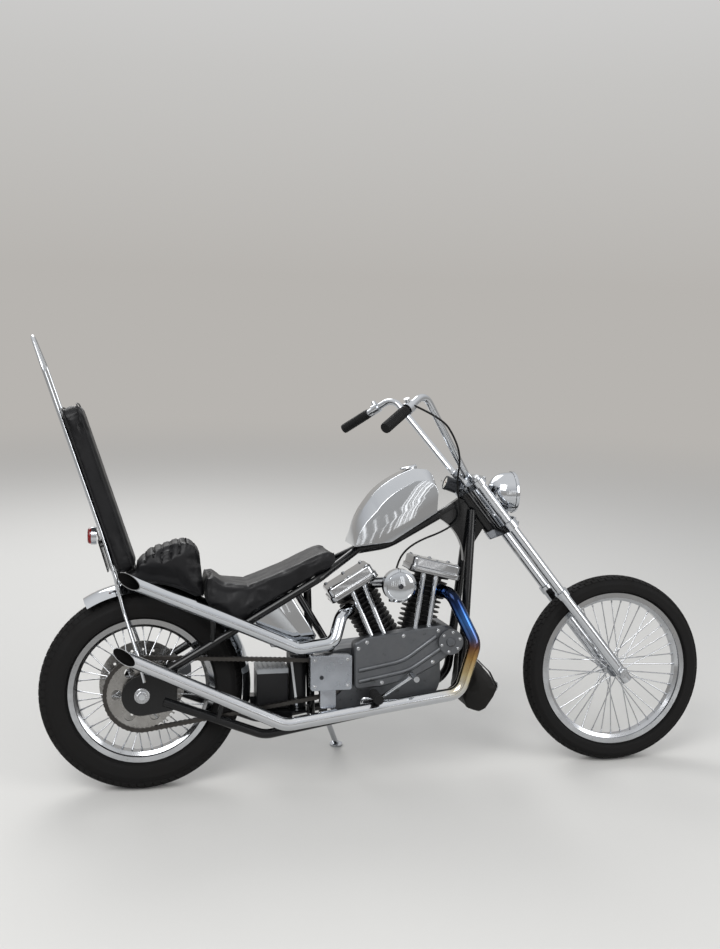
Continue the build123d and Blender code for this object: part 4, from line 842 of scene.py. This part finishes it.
class CHOPPER_OT_seats(bpy.types.Operator):
    """Upholster the rider's seat, the pleated passenger pad and the backrest"""

    bl_idname = "chopper.seats"
    bl_label = "Seats"

    def execute(self, context):
        seat = context.scene.chopper_seat
        for source, name, fill in (("backrest", "backrest_cushion", 0.9),
                                   ("rider_seat", "rider_cushion", 0.85),
                                   ("passenger_pad", "passenger_cushion", 0.85)):
            mesh = swollen(source, seat.voxel, seat.swell)
            if source == "passenger_pad":
                self.pleat(mesh, seat)
            made = piece(name, mesh, "frame", "vinyl", "black_vinyl", parked=False)
            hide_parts(source)
        self.piping()
        return {"FINISHED"}

    def pleat(self, mesh, seat):
        """Rolls across the pad's rising top, with stitched valleys between them."""
        back = PARKED.inverted()
        # The pad's top: from where to where along the machine, and above what height
        start, end, foot = -20 * MM, 176 * MM, 776 * MM
        for vertex in mesh.vertices:
            place = back @ vertex.co
            facing = back.to_3x3() @ vertex.normal
            if facing.z > 0.25 and start < place.x < end and place.z > foot:
                share = (place.x - start) / (end - start) * seat.pleats
                valley = 1 - abs(math.sin(math.pi * share))
                depth = valley ** 2 * seat.pleat_depth * MM * min(1, (facing.z - 0.25) * 3)
                vertex.co -= vertex.normal * depth

    def piping(self):
        """A welt of cord round the face of the backrest."""
        lean = math.radians(18.6)
        foot = Vector((-75.2, 0, 727.5))
        out, up = Vector((math.cos(lean), 0, math.sin(lean))), Vector((-math.sin(lean), 0, math.cos(lean)))
        half, height, corner = 103.0, 593.0, 44.0
        for name, depth in (("backrest_front_welt", 55), ("backrest_rear_welt", 7)):
            route = []
            for cy, cz, start in ((half - corner, height - corner, 0), (corner - half, height - corner, 90),
                                  (corner - half, 4 + corner, 180), (half - corner, 4 + corner, 270)):
                for step in range(5):
                    turn = math.radians(start + 22.5 * step)
                    y, z = cy + corner * math.cos(turn), cz + corner * math.sin(turn)
                    route.append((foot + out * depth + up * z + LEFT * y) * MM)
            piece(name, bent_tube(name, route + route[:1], 2.6, 3), "frame", "vinyl", "black_vinyl")


def swollen(source, voxel, swell_mm, pressure=4.0):
    """A copy of a soft solid, drawn in and then pushed out from inside like a cover over foam."""
    def evaluated():
        return bpy.data.meshes.new_from_object(work.evaluated_get(bpy.context.evaluated_depsgraph_get()))

    def draw_in(solid):
        for _ in range(4):
            bmesh.ops.smooth_vert(solid, verts=solid.verts, factor=0.5, use_axis_x=True, use_axis_y=True,
                                  use_axis_z=True)
        solid.normal_update()
        # Drawn in by six tenths of what the foam may push out again
        for vertex in solid.verts:
            vertex.co -= vertex.normal * 0.6 * swell_mm * MM

    work = linked(source + "_work", NODES[source].data.copy())
    reworked(work.data, lambda solid: bmesh.ops.remove_doubles(solid, verts=solid.verts, dist=1e-5))
    remesh = work.modifiers.new("grid", "REMESH")
    remesh.mode = "VOXEL"
    remesh.voxel_size = voxel
    mesh = evaluated()
    work.modifiers.clear()
    work.data = reworked(mesh, draw_in)
    rest = [v.co.copy() for v in mesh.vertices]
    cloth = work.modifiers.new("cover", "CLOTH")
    cloth.settings.use_pressure = True
    cloth.settings.uniform_pressure_force = pressure
    cloth.settings.effector_weights.gravity = 0.0
    for number in range(CLOTH_FRAMES):
        bpy.context.scene.frame_set(number + 1)
    moved = evaluated()
    work.modifiers.clear()
    for vertex, other, start in zip(mesh.vertices, moved.vertices, rest):
        step = other.co - start
        if step.length > swell_mm * MM:
            step = step.normalized() * swell_mm * MM
        vertex.co = start + step
    bpy.context.scene.frame_set(1)
    finer = work.modifiers.new("finer", "SUBSURF")
    finer.levels = finer.render_levels = 1
    return baked(work)


class CHOPPER_OT_pouch(bpy.types.Operator):
    """Make the leather tool pouch with its flap, straps and buckles"""

    bl_idname = "chopper.pouch"
    bl_label = "Tool Pouch"

    def execute(self, context):
        mesh = swollen("tool_pouch", 0.005, 7.0, 2.5)
        made = piece("pouch_bag", mesh, "frame", "leather", "black_leather", parked=False)
        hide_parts("tool_pouch")
        for index, y in enumerate((-52, 52)):
            strap = ((1128, 424), (1172, 398), (1217, 353), (1243, 302), (1228, 268), (1197, 226))
            buckle = ((1242, 316), (1243.5, 302), (1238, 288))
            for kind, route, width, thick, finish, slot in (
                    ("strap", strap, 22, 3, "leather", "black_leather"),
                    ("buckle", buckle, 30, 4, "zinc", "steel")):
                name = "pouch_%s_%d" % (kind, index)
                band = strap_mesh(name, [(x, y, z) for x, z in route], width, thick)
                piece(name, band, "frame", finish, slot)
        return {"FINISHED"}


def strap_mesh(name, route, width, thick):
    """A flat band that follows points in the side view, as wide as given, with eased edges."""
    rings = []
    line = [Vector(p) for p in route]
    for index, place in enumerate(line):
        ahead = line[min(index + 1, len(line) - 1)] - line[max(index - 1, 0)]
        out = Vector((ahead.z, 0, -ahead.x)).normalized()
        out = out if out.x > 0 or abs(out.x) < 0.1 else -out
        rings.append([place + out * lift + LEFT * across * width
                      for lift, across in ((0, -0.5), (thick, -0.44), (thick, 0.44), (0, 0.5))])
    last = 4 * (len(line) - 1)
    return lofted(name, rings, False, [(3, 2, 1, 0), (last, last + 1, last + 2, last + 3)])


class CHOPPER_OT_lamps(bpy.types.Operator):
    """Make the headlight's glass, reflector and rim, and the speedometer's face"""

    bl_idname = "chopper.lamps"
    bl_label = "Lamps And Dial"

    def execute(self, context):
        lamp, ahead = (1310.0, 0, 998.0), (1, 0, 0)
        dome = [(67.4 * i / 10, 10 + 11 * (1 - (i / 10) ** 2)) for i in range(11)]
        inner = [(radius * 0.97 + 0.001, along - 3.2) for radius, along in reversed(dome)]
        dome = [(max(radius, 0.001), along) for radius, along in dome] + inner
        bowl = [(max(64.0 * i / 12, 0.001), 0.4 + 5.2 * (i / 12) ** 2) for i in range(13)]
        bowl += [(66.0, 5.6), (66.0, 0.1), (0.001, 0.1)]
        rim = ((67.6, 8.5), (68.0, 13.0), (70.5, 15.0), (73.5, 14.0), (76.0, 10.0), (76.2, 2.0), (74.2, 1.0),
               (74.2, 10.1), (67.6, 10.1))
        bulb = ((0.001, 6.5), (5, 6.0), (7.5, 3.5), (8, 0.6), (0.001, 0.6))
        made = turned_piece("headlight_glass", dome, lamp, ahead, 72, "fork", "glass", "clear_glass")
        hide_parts("headlight_lens")
        turned_piece("headlight_reflector", bowl, lamp, ahead, 72, "fork", "chrome", "chrome")
        turned_piece("headlight_rim", rim, lamp, ahead, 96, "fork", "chrome", "chrome")
        turned_piece("headlight_bulb", bulb, lamp, ahead, 32, "fork", "glass", "clear_glass")
        self.dial()
        return {"FINISHED"}

    def dial(self):
        """The speedometer's rim, face, thirteen marks and needle."""
        tilt = math.radians(20)
        back, way = Vector((1066, 0, 1034)), Vector((-math.cos(tilt), 0, math.sin(tilt)))
        rim = ((20.5, -1.0), (20.5, 2.2), (22.0, 3.6), (24.8, 3.2), (26.0, 1.0), (26.0, -6.0), (25.1, -6.0),
               (25.1, -1.0))
        face = ((0.001, 0.8), (20.6, 0.8), (20.6, 0.1), (0.001, 0.1))
        turned_piece("dial_rim", rim, back, way, 64, "fork", "can", "black_plastic")
        turned_piece("dial_face", face, back, way, 48, "fork", "dial", "black_plastic")
        across = way.cross(LEFT).normalized()
        corners = ((-0.35, 14.5), (0.35, 14.5), (0.35, 19), (-0.35, 19))
        mark = mesh_of("mark", [upright(x, y, z) for z in (0, 0.3) for x, y in corners],
                       [(3, 2, 1, 0), (4, 5, 6, 7), (0, 1, 5, 4), (1, 2, 6, 5), (2, 3, 7, 6), (3, 0, 4, 7)])
        level = Matrix((RIGHT, across, way)).transposed()
        spots = []
        for index in range(13):
            spin = level @ Matrix.Rotation(math.radians(120 - 20 * index), 3, "Z")
            spots.append((back + way * 0.8, tuple(spin.to_euler())))
        piece("dial_marks", copies("dial_marks", mark, spots, "case"), "fork", "case", "black_plastic")
        pin = back + way * 1.4
        needle = joined("dial_needle", [
            turned("hub", [(0.001, 2.0), (2.4, 1.8), (2.6, 0.8), (0.001, 0.8)], back, way, 24),
            bent_tube("pointer", [pin * MM, (pin + across * -9 + LEFT * 11) * MM], 0.45, 2)])
        piece("dial_needle", needle, "fork", "red", "red_lens")


class CHOPPER_OT_fasteners(bpy.types.Operator):
    """Set bolts, nipples and rubber ribs, repeated where the machine carries them"""

    bl_idname = "chopper.fasteners"
    bl_label = "Fasteners And Ribs"

    spoke_count, spoke_slant = 40, math.radians(38.0)

    def execute(self, context):
        bolt = context.scene.chopper_fastener
        size = (bolt.head_radius, bolt.head_height)
        for name, body, places, (across, tall) in (
                ("engine_bolts", "frame", self.engine(), size),
                ("wheel_bolts", "rear_wheel", self.wheel(), size),
                ("fork_bolts", "fork", self.fork(), size),
                ("rear_axle_nuts", "frame", self.both_sides(REAR_AXLE, 122.0), (18.6, 13.0)),
                ("front_axle_nuts", "fork", self.both_sides(FRONT_AXLE, 106.5), (15.2, 14.2))):
            mesh = copies(name, bolt_template(), places, "zinc", across, tall)
            piece(name, mesh, body, "zinc", "steel", smooth=False)
        section = ((0.001, 0), (3.4, 0), (3.2, 6), (2.5, 14), (0.001, 14))
        nipple = turned("nipple", section, (0, 0, 0), (0, 0, 1), 10)
        for end, axle, rim, hub, half in (("rear", REAR_AXLE, 213.2, 41.0, 55.5),
                                          ("front", FRONT_AXLE, 249.7, 26.0, 31.5)):
            mesh = copies(end + "_nipples", nipple, self.spokes(axle, rim, hub, half), "zinc")
            piece(end + "_nipples", mesh, end + "_wheel", "zinc", "chrome")
        grips = []
        for sign in (1, -1):
            end = on_fork(-197, sign * 395, 1280)
            start = end + (on_fork(0, sign * 255, 1272) - end).normalized() * 108
            grips += [(start.lerp(end, index / 14), end - start) for index in range(15)]
        pegs = [(Vector((775, -150 - 10 * i, 318)), LEFT) for i in range(10)]
        pegs += [(Vector((775, 162 + 9.6 * i, 306)), LEFT) for i in range(10)]
        for name, body, places, radius, wire in (("grip_ribs", "fork", grips, 17.2, 1.5),
                                                 ("peg_ribs", "frame", pegs, 14.8, 1.8)):
            mesh = copies(name, ring_template(radius, wire), places, "rubber")
            piece(name, mesh, body, "rubber", "black_rubber")
        return {"FINISHED"}

    def both_sides(self, axle, out):
        """A place at each end of an axle."""
        return [(axle + side * out, side) for side in (RIGHT, LEFT)]

    def engine(self):
        """Bolts of rocker boxes, generator, cam cover, sprocket cover and primary cover."""
        places = []
        for lean in (14.0, -31.0):
            up = on_cylinder(lean, 0, 0, 1) - CRANK
            places += [(on_cylinder(lean, x, y, 422), up, 0.9) for x, y in
                       ((72, 38), (-72, 38), (72, -78), (-72, -78), (0, 38), (0, -78))]
        places += [(spot, RIGHT, 0.6) for spot in around(1046, -160, 487, 34, turns(6, 0.3))]
        places += [(Vector((x, -146, z)), RIGHT, 0.75) for x, z in
                   ((804, 354), (902, 376), (984, 418), (1004, 526), (880, 512), (752, 494), (722, 474))]
        places += [(Vector((x, -147, z)), RIGHT, 0.7) for x in (572, 685) for z in (350, 439)]
        for turn in turns(12):
            x, z = (915, 358) if math.cos(turn) > 0 else (672, 372)
            places += [(spot, LEFT, 0.7) for spot in around(x, 136, z, 57, [turn])]
        places += [(spot, LEFT, 0.7) for spot in around(690, 144, 372, 38, turns(3, 0.5))]
        return places

    def wheel(self):
        """Bolts through the sprocket and through the brake disc."""
        return [(spot + side * out, side, 1.0) for spot in around(*REAR_AXLE, 34, turns(5))
                for side, out in ((RIGHT, 91), (LEFT, 90))]

    def fork(self):
        """Pinch bolts of both trees, riser bolts, the stem nut and the leg caps."""
        ahead, up = on_fork(1, 0, 0) - FRONT_AXLE, on_fork(0, 0, 1) - FRONT_AXLE
        places = [(on_fork(-50, 0, 893), up, 2.3)]
        for sign in (1, -1):
            places.append((on_fork(0, sign * 86, 901), up, 2.0))
            places += [(on_fork(26.5, sign * 86, z), ahead, 0.9) for z in (882, 681, 699)]
            places += [(on_fork(x, sign * 45, 941), up, 0.7) for x in (-33, -7)]
        return places

    def spokes(self, axle, rim, hub, half):
        """Where each spoke leaves the rim, and its way to the hub."""
        places = []
        for index, turn in enumerate(turns(self.spoke_count)):
            slant = turn + self.spoke_slant * (1 if index % 4 < 2 else -1)
            y = half * (1 if index % 2 else -1)
            foot = around(axle.x, y, axle.z, hub, [slant])[0]
            head = around(*axle, rim, [turn])[0]
            places.append((head, foot - head))
        return places


class CHOPPER_OT_engine(bpy.types.Operator):
    """Add the engine's small turned and pressed parts and the battery's lid and strap"""

    bl_idname = "chopper.engine"
    bl_label = "Engine Trim"

    # CAD nodes whose edges are eased: finish, slot and how far in millimetres
    castings = {"fuel_tank": ("beaten", "chrome", 5.5), "oil_tank": ("beaten", "chrome", 2.5),
                "rocker_boxes": ("polished", "polished_aluminium", 3.0),
                "sprocket_cover": ("brushed", "polished_aluminium", 2.0),
                "battery": ("case", "black_plastic", 2.5), "electrics_box": ("case", "black_plastic", 3.0)}

    # Turned pieces on the right side: profile of (radius, along), centre, steps, finish and slot
    trim = {
        "air_cleaner_bolt": (
            ((0.001, 13), (6, 13), (8.5, 11), (9.5, 5), (0.001, 5)),
            (856, -204, 692), 48, "can", "black_plastic"),
        "air_cleaner_ring": (
            ((0.001, 6.0), (12, 5.8), (24, 4.9), (34, 3.4), (42, 1.5), (45, 0.4), (46.5, 1.6), (48.5, 1.2),
             (48.5, -0.6), (0.001, -0.6)),
            (856, -204, 692), 96, "chrome", "chrome"),
        "sprocket_cover_button": (
            ((0.001, 2.2), (3.4, 2.2), (3.8, 3.4), (6, 3.4), (7, 2.4), (7.2, -1), (0.001, -1)),
            (595, -147, 380), 40, "can", "black_plastic"),
        "generator_boss": (
            ((0.001, 4), (14, 4), (16, 2), (17, -1), (0.001, -1)),
            (1046, -160, 487), 48, "cast", "cast_aluminium"),
    }
    cap = ((0.001, 4.5), (24, 4.0), (29, 2.6), (31.6, -0.6), (31.8, -3), (0.001, -3))
    collar = ((22.4, 0), (27, 0), (28, 1), (28, 9), (27, 10), (22.4, 10))

    def execute(self, context):
        for source, (finish, slot, ease) in self.castings.items():
            mesh = eased(source, source + "_eased", ease)
            if source == "fuel_tank":
                self.draw_in(mesh)
            made = piece(source + "_eased", mesh, "frame", finish, slot, parked=False)
            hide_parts(source)
        # Dead black liners in both pipe ends: soot, and painted shade of the open bores
        for name, corner, end, cut in (("upper_soot", (350, -165, 557), (-75, -165, 740), (-43, -165, 726)),
                                       ("lower_soot", (470, -165, 230), (-90, -165, 494), (-57, -165, 481))):
            piece(name, soot_and_shade_liner(name, corner, end, cut), "frame", "soot", "black_plastic")
        self.gaskets()
        for name, (profile, centre, steps, finish, slot) in self.trim.items():
            turned_piece(name, profile, centre, RIGHT, steps, "frame", finish, slot)
        lean = math.radians(14)
        up = Vector((-math.sin(lean), 0, math.cos(lean)))
        turned_piece("filler_cap_dome", self.cap, Vector((931, 0, 1076)) + up * 16, up, 64, "frame", "chrome",
                     "chrome")
        for index, (spot, way) in enumerate((((1030, -50, 655.4), (26, -61, -6)),
                                             ((714, -55, 603.3), (-52, -76, -20)))):
            turned_piece("port_collar_%d" % index, self.collar, spot, way, 48, "frame", "steel", "steel")
        ribs = [slab("rib", ((x, 399), (x + 9, 399), (x + 9, 405), (x, 405)), -60, 60, 1.2)
                for x in range(390, 492, 17)]
        lid = slab("lid", ((384, 382), (492, 382), (492, 401), (384, 401)), -67, 67)
        piece("battery_lid", joined("battery_lid", [lid] + ribs), "frame", "lid", "black_plastic")
        strap = slab("battery_strap", ((495, 440), (503, 440), (524, 264), (516, 262)), -80, -71.5, 1.0)
        piece("battery_strap", strap, "frame", "chrome", "chrome")
        return {"FINISHED"}

    def draw_in(self, mesh):
        """Draw the tank's front back a little, most at its lower corner, and flatten its rising spine."""
        back = PARKED.inverted()
        front_back, corner_back, spine_down = 0.015, 0.012, 0.060

        def share(value, start, end):
            return min(1.0, max(0.0, (value - start) / (end - start)))

        for vertex in mesh.vertices:
            place = back @ vertex.co
            low = share(place.z, 1.020, 0.936)
            place.x -= (front_back + corner_back * low) * share(place.x, 0.950, 1.034)
            along = share(place.x, 0.716, 0.931)
            place.z -= spine_down * along * (1 - along) * share(place.z, 0.830, 0.930)
            vertex.co = PARKED @ place

    def gaskets(self):
        """The dark joint lines under each rocker box and under its lid."""
        for index, lean in enumerate((14.0, -31.0)):
            leaves, corner = [], 22
            for height, length, width, thick in ((371.6, 186.8, 150.8, 1.6), (390.6, 178.4, 142.4, 1.4)):
                corners = [(length / 2 - corner * (1 - math.cos(a)), width / 2 - corner * (1 - math.sin(a)))
                           for a in turns(24)[:7]]
                ring = corners + [(-x, y) for x, y in reversed(corners)]
                ring += [(x, -y) for x, y in reversed(ring)]
                leaves.append(prism("leaf", *([on_cylinder(lean, x, y - 20, z) * MM for x, y in ring]
                                              for z in (height, height + thick))))
            name = "rocker_gasket_%d" % index
            piece(name, joined(name, leaves), "frame", "gasket", "black_rubber", smooth=False)


class CHOPPER_OT_cable(bpy.types.Operator):
    """Run the throttle cable whole, from the right grip past the neck to the carburettor"""

    bl_idname = "chopper.cable"
    bl_label = "Throttle Cable"

    # The part's own route points, in millimetres: those that turn with the bars, then those on the frame
    route = ((985, -262, 1262), (1040, -215, 1200), (1078, -160, 1130), (1086, -80, 1040), (1104, -50, 961),
             (1116.6, -29, 905.7), (1052, -34, 862), (955, -34, 828), (890, -70, 790), (856, -118, 735),
             (856, -128, 715))

    def execute(self, context):
        along, out = Vector((-0.661, -0.5785, -0.475)), Vector((0.6575, -0.7513, 0))
        lift = Vector((-0.357, -0.3126, 0.880))
        start = on_fork(0, -255, 1272) + along * 96 + out * 19 + lift * 4
        points = [PARKED @ (place * MM) for place in [start] + [Vector(p) for p in self.route]]
        mesh = bent_tube("throttle_cable_whole", points, 3.5, 4, steps=12, caps=False)
        made = piece("throttle_cable_whole", mesh, None, "rubber", "black_rubber", parked=False)
        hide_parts("throttle_cable", "carburettor_cable")
        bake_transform(made)
        return {"FINISHED"}


class CHOPPER_PT_panel(bpy.types.Panel):
    """The dresser's buttons and sizes"""

    bl_idname = "CHOPPER_PT_panel"
    bl_label = "Chopper"
    bl_space_type = "VIEW_3D"
    bl_region_type = "UI"
    bl_category = "Chopper"

    def draw(self, context):
        for group in GROUPS:
            held = getattr(context.scene, group)
            box = self.layout.box()
            for key in held.__annotations__:
                box.prop(held, key)
        for operator in ORDER:
            self.layout.operator(operator)


GROUPS = {"chopper_stage": ChopperStage, "chopper_finish": ChopperFinish, "chopper_tyre": ChopperTyre,
          "chopper_seat": ChopperSeat, "chopper_fastener": ChopperFastener}
ORDER = ("chopper.stage", "chopper.finishes", "chopper.cable", "chopper.tyres", "chopper.seats",
         "chopper.pouch", "chopper.lamps", "chopper.fasteners", "chopper.engine")
CLASSES = (ChopperStage, ChopperFinish, ChopperTyre, ChopperSeat, ChopperFastener, CHOPPER_OT_stage,
           CHOPPER_OT_finishes, CHOPPER_OT_cable, CHOPPER_OT_tyres, CHOPPER_OT_seats, CHOPPER_OT_pouch,
           CHOPPER_OT_lamps, CHOPPER_OT_fasteners, CHOPPER_OT_engine, CHOPPER_PT_panel)


def register():
    """Register the classes and hang the settings on the scene."""
    for item in CLASSES:
        bpy.utils.register_class(item)
    for name, group in GROUPS.items():
        setattr(bpy.types.Scene, name, PointerProperty(type=group))


def unregister():
    """Take the settings and the classes away again."""
    for name in GROUPS:
        delattr(bpy.types.Scene, name)
    for item in reversed(CLASSES):
        bpy.utils.unregister_class(item)


def main():
    """Register the classes and dress the machine with every operator in turn."""
    register()
    for operator in ORDER:
        group, name = operator.split(".")
        getattr(getattr(bpy.ops, group), name)()


if __name__ == "__main__":
    main()
